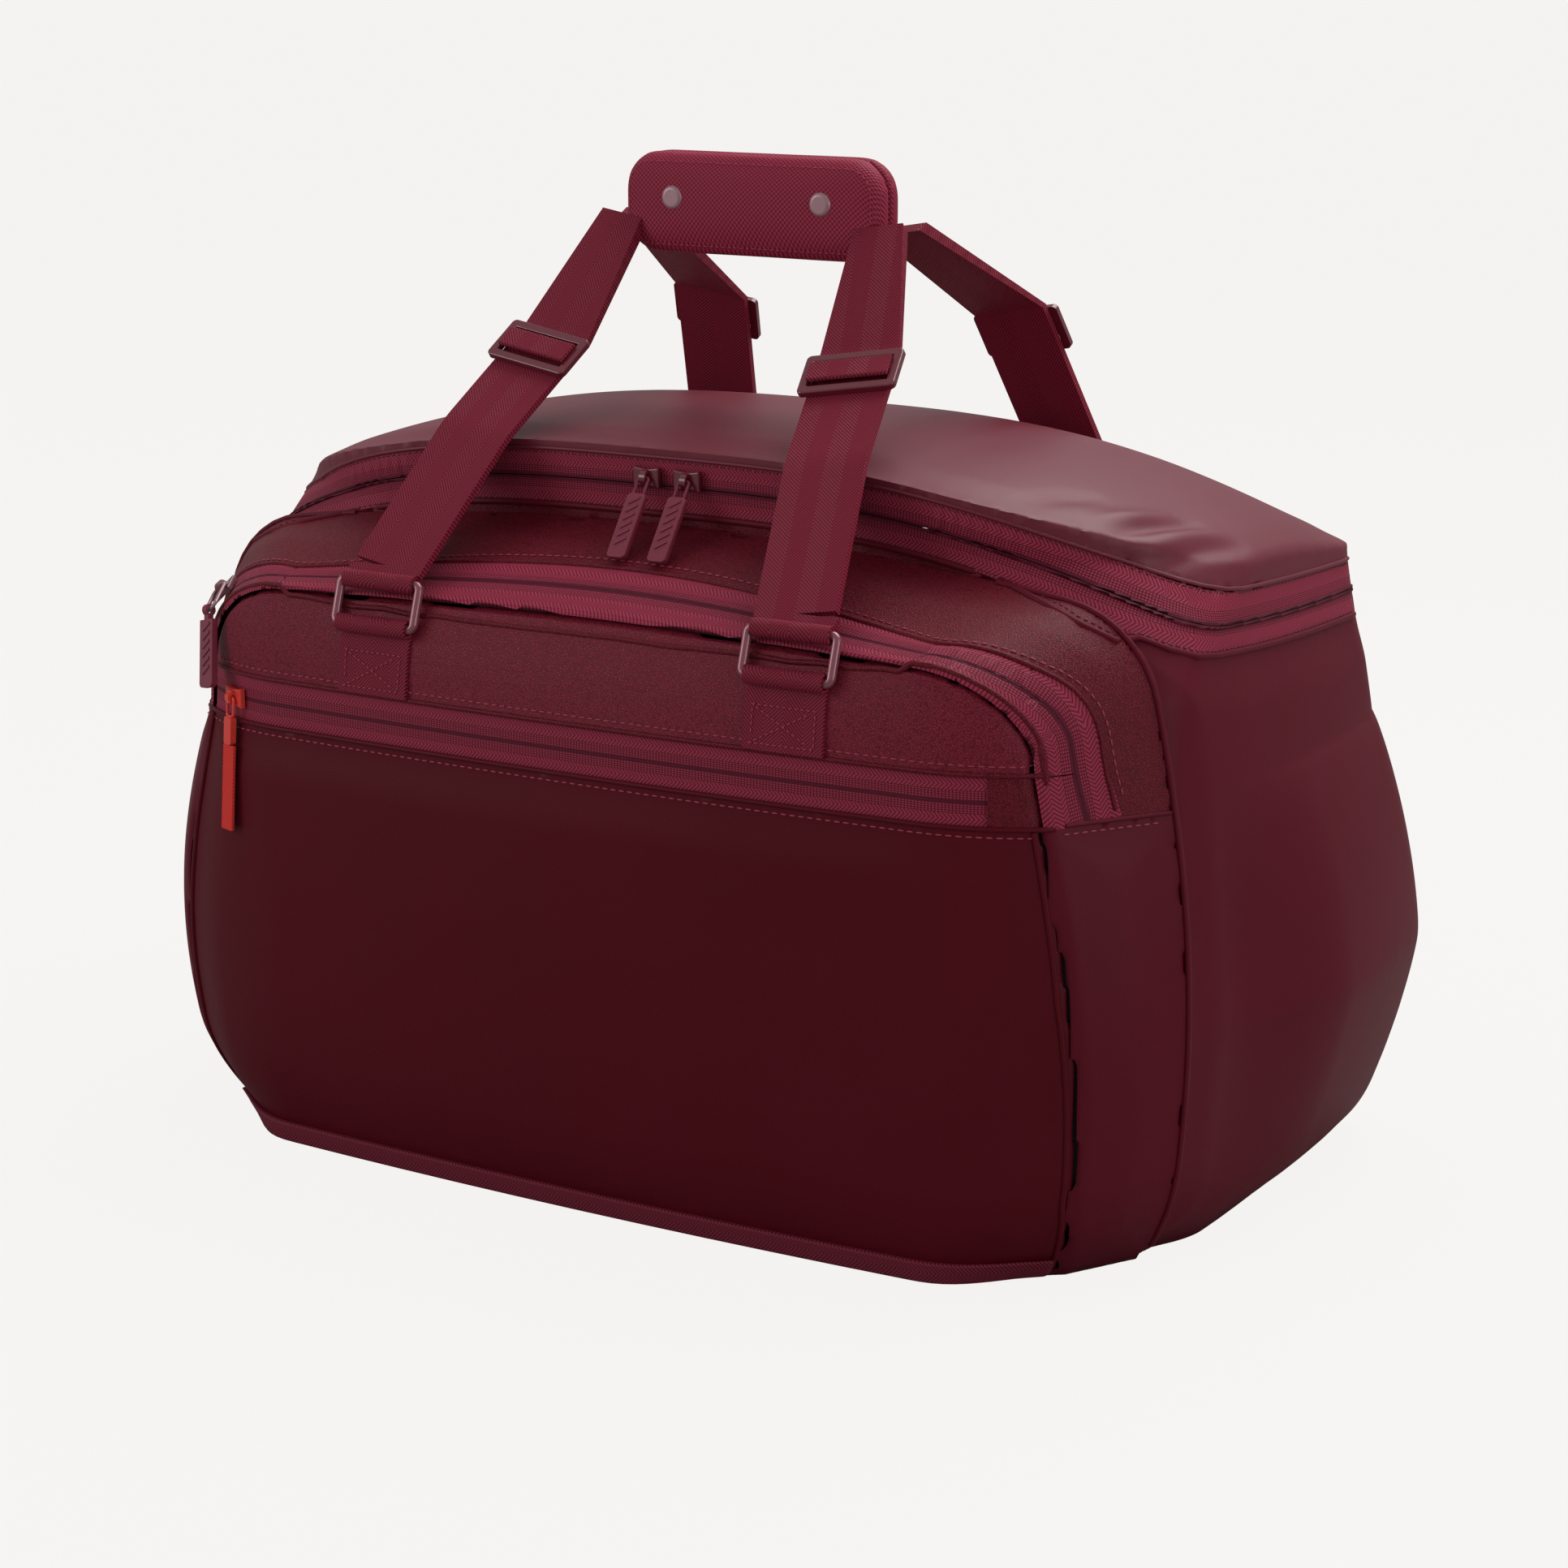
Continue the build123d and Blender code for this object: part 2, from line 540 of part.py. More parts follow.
def placed(shape, origin, x_dir, z_dir):
    """Puts a shape drawn on the XY plane where the origin and directions say."""
    return Plane(origin=origin, x_dir=x_dir, z_dir=z_dir).location * shape


def lid_sliders():
    """Two sliders that meet at the middle of the lid zip, and their pulls."""
    parts = {}
    down = radians(LID_PULL_ANGLE)
    for side, x in LID_SLIDER_X.items():
        turn = 90 if side == "left" else -90
        seat = (x, LID_SLIDER_Y, RIM_FRONT)
        parts[f"lid_slider_{side}"] = placed(slider_body(turn), seat, (1, 0, 0), (0, -1, 0))
        eye = (x, LID_SLIDER_Y - SLIDER_T - EYE_RISE, RIM_FRONT)
        parts[f"lid_pull_{side}"] = placed(pull_tab(LID_PULL_LONG), eye, (1, 0, 0), (0, -sin(down), cos(down)))
    return parts


def arch_slider_set(coil):
    """The arch slider on its coil, its ring over the edge of the flap and the pull that hangs from the ring."""
    out = Vector(*ARCH_OUT).normalized()
    seat = Plane(origin=ARCH_SLIDER, x_dir=ARCH_ALONG, z_dir=out).location
    near = (seat.inverse() * coil) & Box(16, 30, 60)
    rise = near.bounding_box().max.Z + SEAT
    body = seat * Pos(0, 0, rise) * slider_body(-90)
    eye = Vector(*ARCH_SLIDER) + out * (rise + SLIDER_T + EYE_RISE)
    ring = placed(hoop(RING_WIDE, RING_LONG, RING_WIRE), eye, ARCH_ALONG, out)
    pin = eye - Plane(origin=eye, x_dir=ARCH_ALONG, z_dir=out).y_dir * RING_LONG
    hinge = Vector(*PULL_AXIS).normalized()
    pull_out = Vector(*PULL_WAY).cross(hinge).normalized()
    bore = Rot(0, 90, 0) * Cylinder(PULL_BORE, 9)
    tube = Rot(0, 90, 0) * Cylinder(PULL_BORE + 0.9, 3.0)
    tab = Pos(0, -ARCH_PULL_LONG / 2, -PULL_T / 2) * extrude(RectangleRounded(PULL_WIDE, ARCH_PULL_LONG, 2.2), PULL_T)
    room = Box(PULL_WIDE + 1, 9.0, 9)
    ribs = [Pos(0, -8 - 4 * i, PULL_T / 2) * Rot(0, 0, 35) * Box(6.0, 1.2, 1.0) for i in range(6)]
    neck = box(-1.5, 1.5, -6.0, -PULL_BORE, -PULL_T / 2, PULL_T / 2)
    pull = ((tab - room) + neck + tube + ribs) - bore
    return {"arch_slider": body, "arch_ring": ring, "arch_pull": placed(pull, pin, hinge, pull_out)}


def pocket_slider_set():
    """The pocket slider at the left end of its zip, with its pull and webbing tail."""
    zip_line = (POCKET_LOW + POCKET_HIGH) / 2
    middle, end, centre = face_arcs()
    angle = asin((POCKET_SLIDER_X - centre[0]) / end)
    out = (-sin(angle), -cos(angle), 0)
    across = (cos(angle), -sin(angle), 0)
    seat = Vector(-centre[0], centre[1], zip_line) + Vector(*out) * (end + SEAT - LINING * cos(angle))
    body = placed(slider_body(90), seat, across, out)
    eye = seat + Vector(*out) * (SLIDER_T + EYE_RISE)
    reach = POCKET_PULL_LONG - HOOP_LONG
    tab = Pos(0, -HOOP_LONG - reach / 2, -PULL_T / 2) * extrude(RectangleRounded(6.0, reach, 1.5), PULL_T)
    pull = Rot(-POCKET_PULL_TILT, 0, 0) * (tab + hoop(HOOP_WIDE, HOOP_LONG, HOOP_WIRE))
    tail = Pos(0, -POCKET_PULL_LONG - SEAT - TAIL_LONG / 2, -TAIL_T / 2) * Box(
        TAIL_WIDE, TAIL_LONG, TAIL_T, align=(Align.CENTER, Align.CENTER, Align.MIN))
    tail = Rot(-POCKET_PULL_TILT, 0, 0) * tail
    return {
        "pocket_slider": body,
        "pocket_pull": placed(pull, eye, across, out),
        "pocket_pull_tail": placed(tail, eye, across, out),
    }


# ---------------------------------------------------------------- build and write
def build_parts():
    parts = main_panels()
    parts.update(lid_zip())
    parts["lid_panel"] = lid_panel()
    fronts = front_panels()
    parts["base_panel"] = (main_form() & slab(0, PANEL)) + fronts.pop("front_base")
    parts["base_board"] = main_form(BOARD_EDGE) & slab(PANEL, PANEL + BOARD)
    parts.update(fronts)
    walls = {"front": face_layer(-PATCH_T, PATCH_T), "back": both_halves(main_half(-PATCH_T, 0.0))}
    for handle in (FRONT, BACK):
        pad = grip_pad(handle)
        if handle.side == "front":
            sockets = [Pos(side * SNAP_X, GRIP_Y, SNAP_Z) * Rot(90, 0, 0)
                       * Cylinder(STUD_R + STUD_ROOM, 2 * (STUD_LONG + STUD_ROOM)) for side in (-1, 1)]
            pad = pad - sockets
        parts[f"grip_{handle.side}"] = pad
        for name, hand in (("left", -1), ("right", 1)):
            frame, fold = triglide(handle, hand)
            parts[f"{handle.side}_loop_{name}"] = wire_loop(handle, hand)
            parts[f"{handle.side}_strap_{name}"] = strap(handle, hand) - pad
            parts[f"{handle.side}_triglide_{name}"] = frame
            parts[f"{handle.side}_triglide_web_{name}"] = fold
            parts[f"{handle.side}_patch_{name}"] = anchor_patch(handle, hand, walls[handle.side])
    parts["snap_caps"] = Compound(children=snap_caps())
    parts["snap_studs"] = Compound(children=snap_studs())
    parts.update(lid_sliders())
    parts.update(arch_slider_set(parts["arch_zip_coil_inner"]))
    parts.update(pocket_slider_set())
    return parts


for node, shape in build_parts().items():
    export_step(shape, f"parts/{node}.step")
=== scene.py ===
# %% [markdown]
# # A racket duffel, dressed
# The bag is a soft duffel: foam-backed burgundy panels, zips with herringbone tape, webbing
# handles that pass through metal loops, and a padded grip that snaps shut. Its frame comes from
# the CAD model. It could be drawn again from nothing, but then nothing would meet at the seams,
# so everything soft is made here on top of that frame, and rides on its bodies.

# %% Load the frame
import bpy
import bmesh
import json
import math
from mathutils import Matrix, Vector, kdtree
from mathutils.bvhtree import BVHTree

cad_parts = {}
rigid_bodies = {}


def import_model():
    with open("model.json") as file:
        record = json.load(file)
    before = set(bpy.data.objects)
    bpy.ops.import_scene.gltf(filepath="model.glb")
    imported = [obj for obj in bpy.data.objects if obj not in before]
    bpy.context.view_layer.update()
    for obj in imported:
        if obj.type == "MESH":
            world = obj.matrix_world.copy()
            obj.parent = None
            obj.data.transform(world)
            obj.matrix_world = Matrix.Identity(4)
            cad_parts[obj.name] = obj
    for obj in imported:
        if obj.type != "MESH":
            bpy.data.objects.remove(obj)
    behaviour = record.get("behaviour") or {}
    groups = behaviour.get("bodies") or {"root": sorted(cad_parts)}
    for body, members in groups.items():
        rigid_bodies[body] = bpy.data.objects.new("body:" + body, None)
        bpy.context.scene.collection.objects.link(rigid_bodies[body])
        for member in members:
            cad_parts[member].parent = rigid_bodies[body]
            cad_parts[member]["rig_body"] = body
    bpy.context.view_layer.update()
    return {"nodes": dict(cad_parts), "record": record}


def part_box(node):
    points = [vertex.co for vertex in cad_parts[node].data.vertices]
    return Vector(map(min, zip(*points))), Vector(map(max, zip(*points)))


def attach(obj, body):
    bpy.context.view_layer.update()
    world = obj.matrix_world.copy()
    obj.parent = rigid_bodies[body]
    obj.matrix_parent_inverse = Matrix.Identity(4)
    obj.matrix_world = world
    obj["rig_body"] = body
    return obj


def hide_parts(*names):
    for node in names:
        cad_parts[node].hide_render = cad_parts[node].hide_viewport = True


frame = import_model()
BODIES = frame["record"]["behaviour"]["bodies"]
BODY_OF = {node: body for body, nodes in BODIES.items() for node in nodes}
MM = 0.001

# %% [markdown]
# ## Colours and nodes
# Dyed cloth is named by its sRGB hex value, as on a colour card. Cycles works in linear light,
# so one function turns the value. One more adds a shader node with its settings and its links.


# %% Colours and one node helper
def colour(value):
    """An sRGB hex value as linear light, opaque."""
    parts = [int(value[i:i + 2], 16) / 255 for i in (1, 3, 5)]
    return [p / 12.92 if p <= 0.04045 else ((p + 0.055) / 1.055) ** 2.4 for p in parts] + [1.0]


def add(tree, kind, inputs=None, **settings):
    """Adds a node: settings are its own properties, inputs are values or sockets to link."""
    node = tree.nodes.new(kind)
    for name, value in settings.items():
        setattr(node, name, value)
    for name, value in (inputs or {}).items():
        if isinstance(value, bpy.types.NodeSocket):
            tree.links.new(value, node.inputs[name])
        else:
            node.inputs[name].default_value = value
    return node


def finish_named(name, **sockets):
    """A new material with its Principled shader's own sockets set."""
    material = bpy.data.materials.new(name)
    material.use_nodes = True
    shader = material.node_tree.nodes["Principled BSDF"]
    for socket, value in sockets.items():
        shader.inputs[socket.replace("_", " ")].default_value = value
    return material, material.node_tree, shader


def math_node(tree, operation, a, b=0.0, c=0.0):
    """The result of one sum on values or sockets."""
    return add(tree, "ShaderNodeMath", {0: a, 1: b, 2: c}, operation=operation).outputs[0]


def tone_and_bump(tree, shader, share, low, high, strength, depth, height=None):
    """Blends two colours by a share, and raises the surface by it, or by another height."""
    tone = add(tree, "ShaderNodeMix", {"Factor": share, "A": colour(low), "B": colour(high)},
               data_type="RGBA")
    tree.links.new(tone.outputs["Result"], shader.inputs["Base Color"])
    bump = add(tree, "ShaderNodeBump", {"Height": share if height is None else height,
                                        "Strength": strength, "Distance": depth * MM})
    tree.links.new(bump.outputs["Normal"], shader.inputs["Normal"])


# %% [markdown]
# ## Coated fabric
# The body of the bag is nylon with a soft-touch polyurethane coat over foam. The coat hides the
# weave, so the eye gets a matte, slightly milky surface with a faint broad sheen at grazing
# angles and very fine tooth. A broad noise tints it a little, as real rolls of cloth vary, and
# a fine one gives the tooth. The ends and the lid take lighter copies of the same colour: painted
# light, for the brighter light that falls on them. The flap and the yoke are synthetic leather,
# embossed by a roller with round pebbles, so they glint a little more. Their valleys are painted
# darker, as painted shade, and the flap takes a lighter copy of the yoke's colour, painted light.


# %% Coated fabric and grained synthetic leather
def coated_fabric(name, hue, milky, gloss):
    """Soft-touch nylon: cloudy tint over a decimetre, tooth of about a millimetre."""
    material, tree, shader = finish_named(
        name, Roughness=0.46, Sheen_Weight=0.03, Sheen_Roughness=0.4, Specular_IOR_Level=gloss)
    shader.inputs["Sheen Tint"].default_value = colour("#c45a70")
    place = add(tree, "ShaderNodeTexCoord").outputs["Object"]
    broad = add(tree, "ShaderNodeTexNoise", {"Vector": place, "Scale": 9.0, "Detail": 3.0})
    fine = add(tree, "ShaderNodeTexNoise", {"Vector": place, "Scale": 900.0, "Detail": 4.0})
    tone_and_bump(tree, shader, broad.outputs["Fac"], hue, milky, 0.22, 0.25, fine.outputs["Fac"])
    return material


def pebble_grain(name, hue, valley):
    """Embossed synthetic leather: round pebbles, with painted shade darkening the valleys between
    them.
    """
    material, tree, shader = finish_named(name, Roughness=0.42, Specular_IOR_Level=0.16)
    place = add(tree, "ShaderNodeTexCoord").outputs["Object"]
    # A pebble is a little over 1 mm across, so there are about 950 cells to the metre.
    cells = add(tree, "ShaderNodeTexVoronoi", {"Vector": place, "Scale": 950.0, "Randomness": 1.0},
                feature="DISTANCE_TO_EDGE").outputs["Distance"]
    rounded = add(tree, "ShaderNodeMapRange", {"Value": cells, "From Max": 0.28},
                  interpolation_type="SMOOTHSTEP").outputs[0]
    # Painted shade: the colour darkens towards the valleys, by the same share that lowers the bump.
    tone_and_bump(tree, shader, rounded, valley, hue, 0.5, 0.22)
    return material


# The ends and the lid are the same coated nylon as the body, in lighter copies: painted light for the
# brighter light that falls on them.
body_cloth = coated_fabric("soft_touch_coated_nylon", "#520a17", "#5e0f1e", 0.12)
end_lit_cloth = coated_fabric("soft_touch_coated_nylon_ends", "#5c0f21", "#661628", 0.12)
lid_lit_cloth = coated_fabric("soft_touch_coated_nylon_lid", "#68182b", "#742235", 0.4)
# The flap's grain is a lighter copy of the yoke's colour: painted light for how the flap catches the
# light.
flap_lit_grain = pebble_grain("pebble_grained_flap_leather", "#902a3e", "#641626")
grain = pebble_grain("pebble_grained_synthetic_leather", "#7c1d2e", "#520d1a")

# %% [markdown]
# ## Woven tapes
# Zip tape is a herringbone twill and handle webbing is a heavier one, with broad chevrons. Both
# follow the piece they are on, so they read a UV map in metres: U runs along the tape and V
# across it. A chevron is a diagonal line whose direction flips from band to band.


# %% Herringbone weaves
def wave(tree, value, period):
    """One rounded rise, 0 to 1 and back, in every period of a length."""
    share = math_node(tree, "FRACT", math_node(tree, "DIVIDE", value, period * MM))
    return math_node(tree, "SINE", math_node(tree, "MULTIPLY", share, math.pi))


def herringbone(name, light, dark, band, pitch, rise, centre_rows=0.0):
    """A twill whose diagonals flip every band; rows of dots can run beside the middle line."""
    material, tree, shader = finish_named(
        name, Roughness=0.55, Sheen_Weight=0.08, Sheen_Roughness=0.4, Specular_IOR_Level=0.16)
    shader.inputs["Sheen Tint"].default_value = colour("#d07088")
    uv = add(tree, "ShaderNodeUVMap", uv_map="along_across").outputs["UV"]
    axis = add(tree, "ShaderNodeSeparateXYZ", {"Vector": uv})
    along, across = axis.outputs["X"], axis.outputs["Y"]
    zigzag = math_node(tree, "PINGPONG", across, band * MM)
    ridge = wave(tree, math_node(tree, "ADD", along, zigzag), pitch)
    thread = wave(tree, across, pitch * 0.42)
    height = math_node(tree, "MULTIPLY", ridge, math_node(tree, "MULTIPLY_ADD", thread, 0.35, 0.65))
    if centre_rows:
        aside = math_node(tree, "ABSOLUTE", across)
        rows = math_node(tree, "SINE", math_node(tree, "MULTIPLY", aside, 2 * math.pi / (1.9 * MM)))
        dots = math_node(tree, "MULTIPLY", wave(tree, along, 1.5), math_node(tree, "ABSOLUTE", rows))
        near = math_node(tree, "LESS_THAN", aside, centre_rows * MM)
        height = add(tree, "ShaderNodeMix", {"Factor": near, "A": height, "B": dots}).outputs["Result"]
    # Painted highlight and shade: the crests take the light colour and the grooves the dark one, by
    # the same height as the bump.
    tone_and_bump(tree, shader, height, dark, light, 0.7, rise)
    return material


# Real threads are 0.3 to 0.5 mm apart. They are drawn at 1.7 to 1.9 mm, as coarse as they need
# to be to show. The webbing is 38 mm wide with four bands of chevrons.
# Each light colour below is a painted highlight on the crests of its weave, and each dark one painted
# shade in its grooves.
zip_cloth = herringbone("herringbone_zip_tape", "#b23a56", "#500e20", 3.6, 1.9, 0.25, centre_rows=5.0)
webbing = herringbone("chevron_nylon_webbing", "#9c2a44", "#400812", 9.5, 1.7, 0.3)
binding = herringbone("twill_binding_tape", "#8c2c42", "#430d1a", 40.0, 1.8, 0.3)
print("woven finishes:", zip_cloth.name, webbing.name, binding.name)


# %% [markdown]
# ## Grip cloth, thread, coil and hardware
# The grip is ballistic nylon, a plain weave of thick yarn. Thread and coil are plain nylon. The
# hardware is zinc with satin burgundy paint: a clear, tight highlight over a flat colour. The
# loops take a lighter copy of that colour, which is a painted reflection.


# %% Grip cloth and small materials
def plain_weave(name, light, dark, yarn):
    """Square weave: warp and weft crests a yarn apart, like a small chequer."""
    material, tree, shader = finish_named(name, Roughness=0.55, Specular_IOR_Level=0.15)
    place = add(tree, "ShaderNodeTexCoord").outputs["Object"]
    axis = add(tree, "ShaderNodeSeparateXYZ", {"Vector": place})
    rise = math_node(tree, "ADD", axis.outputs["Z"], axis.outputs["Y"])
    warp, weft = [math_node(tree, "SINE", math_node(tree, "MULTIPLY", way, math.pi / (yarn * MM)))
                  for way in (axis.outputs["X"], rise)]
    height = math_node(tree, "MULTIPLY_ADD", math_node(tree, "MULTIPLY", warp, weft), 0.5, 0.5)
    # Painted highlight and shade: the crests take the light colour and the hollows the dark one, by
    # the same height as the bump.
    tone_and_bump(tree, shader, height, dark, light, 0.8, 0.3)
    return material


def speckled(name, hue, spread, scale, rise, **sockets):
    """A plain finish with a little tooth: a noise moves its colour and its height."""
    material, tree, shader = finish_named(name, **sockets)
    place = add(tree, "ShaderNodeTexCoord").outputs["Object"]
    noise = add(tree, "ShaderNodeTexNoise", {"Vector": place, "Scale": scale, "Detail": 3.0})
    tone_and_bump(tree, shader, noise.outputs["Fac"], hue, spread, 0.4, rise)
    return material


# The grip's light colour is a painted highlight on the weave's crests, its dark one painted shade in
# the hollows.
grip_cloth = plain_weave("ballistic_nylon", "#b43a56", "#641229", 1.15)
thread_pink = speckled("bonded_nylon_thread", "#b03a52", "#8f2c42", 3000, 0.05, Roughness=0.5)
thread_dark = speckled("bonded_nylon_thread_dark", "#6b1a2b", "#4a1120", 3000, 0.05, Roughness=0.5)
coil_nylon = speckled("moulded_nylon_coil", "#6c1c32", "#431020", 1600, 0.05,
                      Roughness=0.6, Specular_IOR_Level=0.15)
painted = speckled("satin_painted_zinc", "#6e1a2c", "#641527", 700, 0.02,
                   Roughness=0.28, Coat_Weight=0.8, Coat_Roughness=0.14)
snap_paint = speckled("satin_painted_snap", "#b08a92", "#a67f88", 700, 0.02,
                      Roughness=0.34, Metallic=0.35)
# The loops' paint is a lighter copy of the zinc paint's colour: a painted reflection on their bars.
loop_lit_paint = speckled("satin_painted_loop", "#9a5c68", "#8e525e", 700, 0.02,
                      Roughness=0.3, Metallic=0.45, Coat_Weight=0.5)
red_paint = speckled("red_painted_zinc", "#ee4236", "#e2352c", 700, 0.02,
                     Roughness=0.34, Coat_Weight=0.4)
# Painted highlight on the tape's crests and painted shade in its hollows, as on the grip.
red_cloth = plain_weave("red_woven_tape", "#f2443a", "#c92a26", 0.9)
pull_rubber = speckled("moulded_pull_rubber", "#8a2c42", "#74203a", 1500, 0.08, Roughness=0.48)
steel = speckled("nickel_plated_brass", "#b9b1ae", "#aaa29f", 500, 0.01, Roughness=0.25, Metallic=1.0)
board = speckled("polypropylene_board", "#26262a", "#2e2e33", 60, 0.1, Roughness=0.6)
# Painted highlight on the lining's crests and painted shade in its hollows, as on the grip.
lining = plain_weave("thin_polyester_lining", "#3c343a", "#2c262b", 0.6)
print("finishes:", len(bpy.data.materials))

# %% [markdown]
# ## Lines on the bag
# Zips, hems and stitches all follow a few lines of the bag. A curve drawn by hand would float
# off a skin that bends two ways. So each line is sampled by casting rays at the CAD skin from
# outside, and lies exactly on it.


# %% Ray casting on the CAD skin
SOFT = [n for n in frame["nodes"] if any(w in n for w in ("panel", "gusset", "yoke", "tape", "coil"))
        and n not in ("base_panel", "divider_panel", "base_board")]


def merged_tree(objects):
    """One search tree over the faces of several pieces."""
    points, faces = [], []
    for piece in objects:
        start = len(points)
        points += [piece.matrix_world @ v.co for v in piece.data.vertices]
        faces += [[start + i for i in p.vertices] for p in piece.data.polygons]
    return BVHTree.FromPolygons(points, faces)


skin = merged_tree([frame["nodes"][n] for n in SOFT])


def cast(origin, toward):
    """Where a ray first meets the skin, or None."""
    return skin.ray_cast(Vector(origin), Vector(toward).normalized(), 0.8)[0]


def evenly(points, step):
    """The same polyline with points a fixed step apart."""
    out, left = [points[0]], step
    for a, b in zip(points, points[1:]):
        run = (b - a).length
        while run > 1e-9 and left <= run:
            a = a + (b - a) * (left / run)
            out.append(a)
            run = (b - a).length
            left = step
        left -= run
    return out


# The lid zip parts along a line that is highest at the middle of the front and drops to the back.
LID_CORNER = (0.121, 0.038)
RIM_FRONT, RIM_BACK, RIM_BOW = 0.322, 0.262, 3.05
RIM_START, RIM_RUN = -0.100, 0.260


def rim(x, y):
    """Height of the lid zip's parting line."""
    share = (y - RIM_START) / RIM_RUN
    return (RIM_FRONT - RIM_BOW * abs(x) ** 3) * (1 - share) + RIM_BACK * share


def lid_line(rise, step=0.002):
    """Round the bag at a height over the lid zip line, from the left end's back to the right's."""
    cx, cy = LID_CORNER
    guides = [((-0.5, y), (1, 0)) for y in [0.117 - 0.008 * i for i in range(10)]]
    for turn in range(0, 91, 5):
        a = math.radians(turn)
        guides.append(((-cx - 0.4 * math.cos(a), cy - 0.4 * math.sin(a)), (math.cos(a), math.sin(a))))
    guides += [((x, -0.4), (0, 1)) for x in [-0.11 + 0.01 * i for i in range(12)]]
    half = [((-p[0], p[1]), (-d[0], d[1])) for p, d in reversed(guides)]
    points = []
    for (x, y), (dx, dy) in guides + half:
        z = rim(max(-0.24, min(0.24, x)), max(-0.08, y)) + rise
        for _ in range(4):
            hit = cast((x, y, z), (dx, dy, 0))
            if hit is None:
                break
            z = rim(hit.x, hit.y) + rise
        if hit is not None:
            points.append(hit)
    return evenly(points, step)


print("lid line:", len(lid_line(0.0)), "points")

# %% [markdown]
# The front pocket has its own plan line: a flat middle, tighter ends and a lean that pulls the
# top of the flap back where the handles hang. The arch zip follows it at a fixed depth. The
# line could be drawn by hand, but a ray finds the cloth wherever the face is moved to.

# %% The front face and its lines
FACE_Y, FACE_FLAT, FACE_DROP, END_R = -0.156, 0.165, 0.0045, 0.09707
END_X, END_Y, FACE_CUT = 0.1597, -0.0546, 0.214
LEAN = [(0.0, 0.006, 0.006), (0.040, 0.0014, 0.0014), (0.130, -0.0006, -0.0006), (0.205, 0.0, 0.0),
        (0.224, 0.0002, 0.0), (0.246, 0.0046, 0.0015), (0.268, 0.0125, 0.004), (0.310, 0.033, 0.016)]


def lean(z):
    """How far the middle and the ends of the face lie back at a height."""
    for (z0, m0, e0), (z1, m1, e1) in zip(LEAN, LEAN[1:]):
        if z <= z1:
            s = max(0.0, (z - z0) / (z1 - z0))
            return m0 + (m1 - m0) * s, e0 + (e1 - e0) * s
    return LEAN[-1][1:]


def front_y(x, z, shift=0.0):
    """The front face at x and z, moved back by a shift that narrows on the ends."""
    middle, end = lean(z)
    middle, end = middle + shift, end + shift * 0.7
    x = abs(x)
    if x <= FACE_FLAT:
        edge = FACE_Y + FACE_DROP + end
        return FACE_Y + middle + (edge - FACE_Y - middle) * (x / FACE_FLAT) ** 2
    run = min(x, FACE_CUT) - END_X
    back = math.sqrt(END_R ** 2 - run ** 2)
    return END_Y - back + max(x - FACE_CUT, 0) * run / back + end


def arch_line(shift, step=0.002, low=0.205):
    """Over the front pocket at a depth behind its face, from the left foot to the right."""
    guides = [((-0.4, low + 0.004 * i), (1, 0)) for i in range(4)]
    for turn in range(0, 91, 6):
        a = math.radians(turn)
        guides.append(((-0.158 - 0.2 * math.cos(a), 0.221 + 0.2 * math.sin(a)),
                       (math.cos(a), -math.sin(a))))
    guides += [((x, 0.5), (0, -1)) for x in [-0.15 + 0.015 * i for i in range(11)]]
    half = [((-p[0], p[1]), (-d[0], d[1])) for p, d in reversed(guides[:-1])]
    points = []
    for (x, z), (dx, dz) in guides + half:
        y = front_y(0.22 if abs(x) > 0.2 else x, min(z, 0.26), shift)
        hit = None
        for _ in range(6):
            hit = cast((x, y, z), (dx, 0, dz))
            if hit is None:
                break
            y = 0.5 * (y + front_y(hit.x, hit.z, shift))
        if hit is not None:
            points.append(hit)
    return evenly(points, step)


def level_line(z, x0, x1, step=0.002):
    """Along the front face at a height."""
    count = int(abs(x1 - x0) / 0.004) + 1
    points = [cast((x0 + (x1 - x0) * i / count, -0.5, z), (0, 1, 0)) for i in range(count + 1)]
    return evenly([p for p in points if p is not None], step)


ARCH_ZIP, POCKET_ZIP = 0.0108, 0.2127  # the arch zip's depth behind the face, the pocket's height
print("arch:", len(arch_line(ARCH_ZIP)), "pocket:", len(level_line(POCKET_ZIP, -0.2, 0.19)))

# %% [markdown]
# ## Soft panels
# A CAD panel is a crisp 4 mm board. The real one is foam between two cloths: its edges turn in
# at the seams, it bulges a little between them, and it creases where it is pulled. Each panel
# is copied, remeshed to even quads, given its sharp rim back, relaxed away from its seams and
# swelled towards the middle. A cloth run could swell it too, but its rims would have to be
# pinned first, because the seams have to meet.


# %% Copying and relaxing a piece
def select_only(piece):
    """An operator acts on all that is selected, so only one piece is."""
    bpy.ops.object.select_all(action="DESELECT")
    piece.select_set(True)
    bpy.context.view_layer.objects.active = piece


def apply_modifiers(piece):
    """Works each modifier into the mesh, in order."""
    select_only(piece)
    for modifier in list(piece.modifiers):
        bpy.ops.object.modifier_apply(modifier=modifier.name)


def copy_of(node, name):
    """A merged copy of a CAD node as a new object."""
    mesh = frame["nodes"][node].data.copy()
    mesh.materials.clear()
    piece = bpy.data.objects.new(name, mesh)
    bpy.context.scene.collection.objects.link(piece)
    select_only(piece)
    bpy.ops.object.mode_set(mode="EDIT")
    bpy.ops.mesh.select_all(action="SELECT")
    bpy.ops.mesh.remove_doubles(threshold=0.00002)
    bpy.ops.mesh.normals_make_consistent(inside=False)
    bpy.ops.object.mode_set(mode="OBJECT")
    return piece


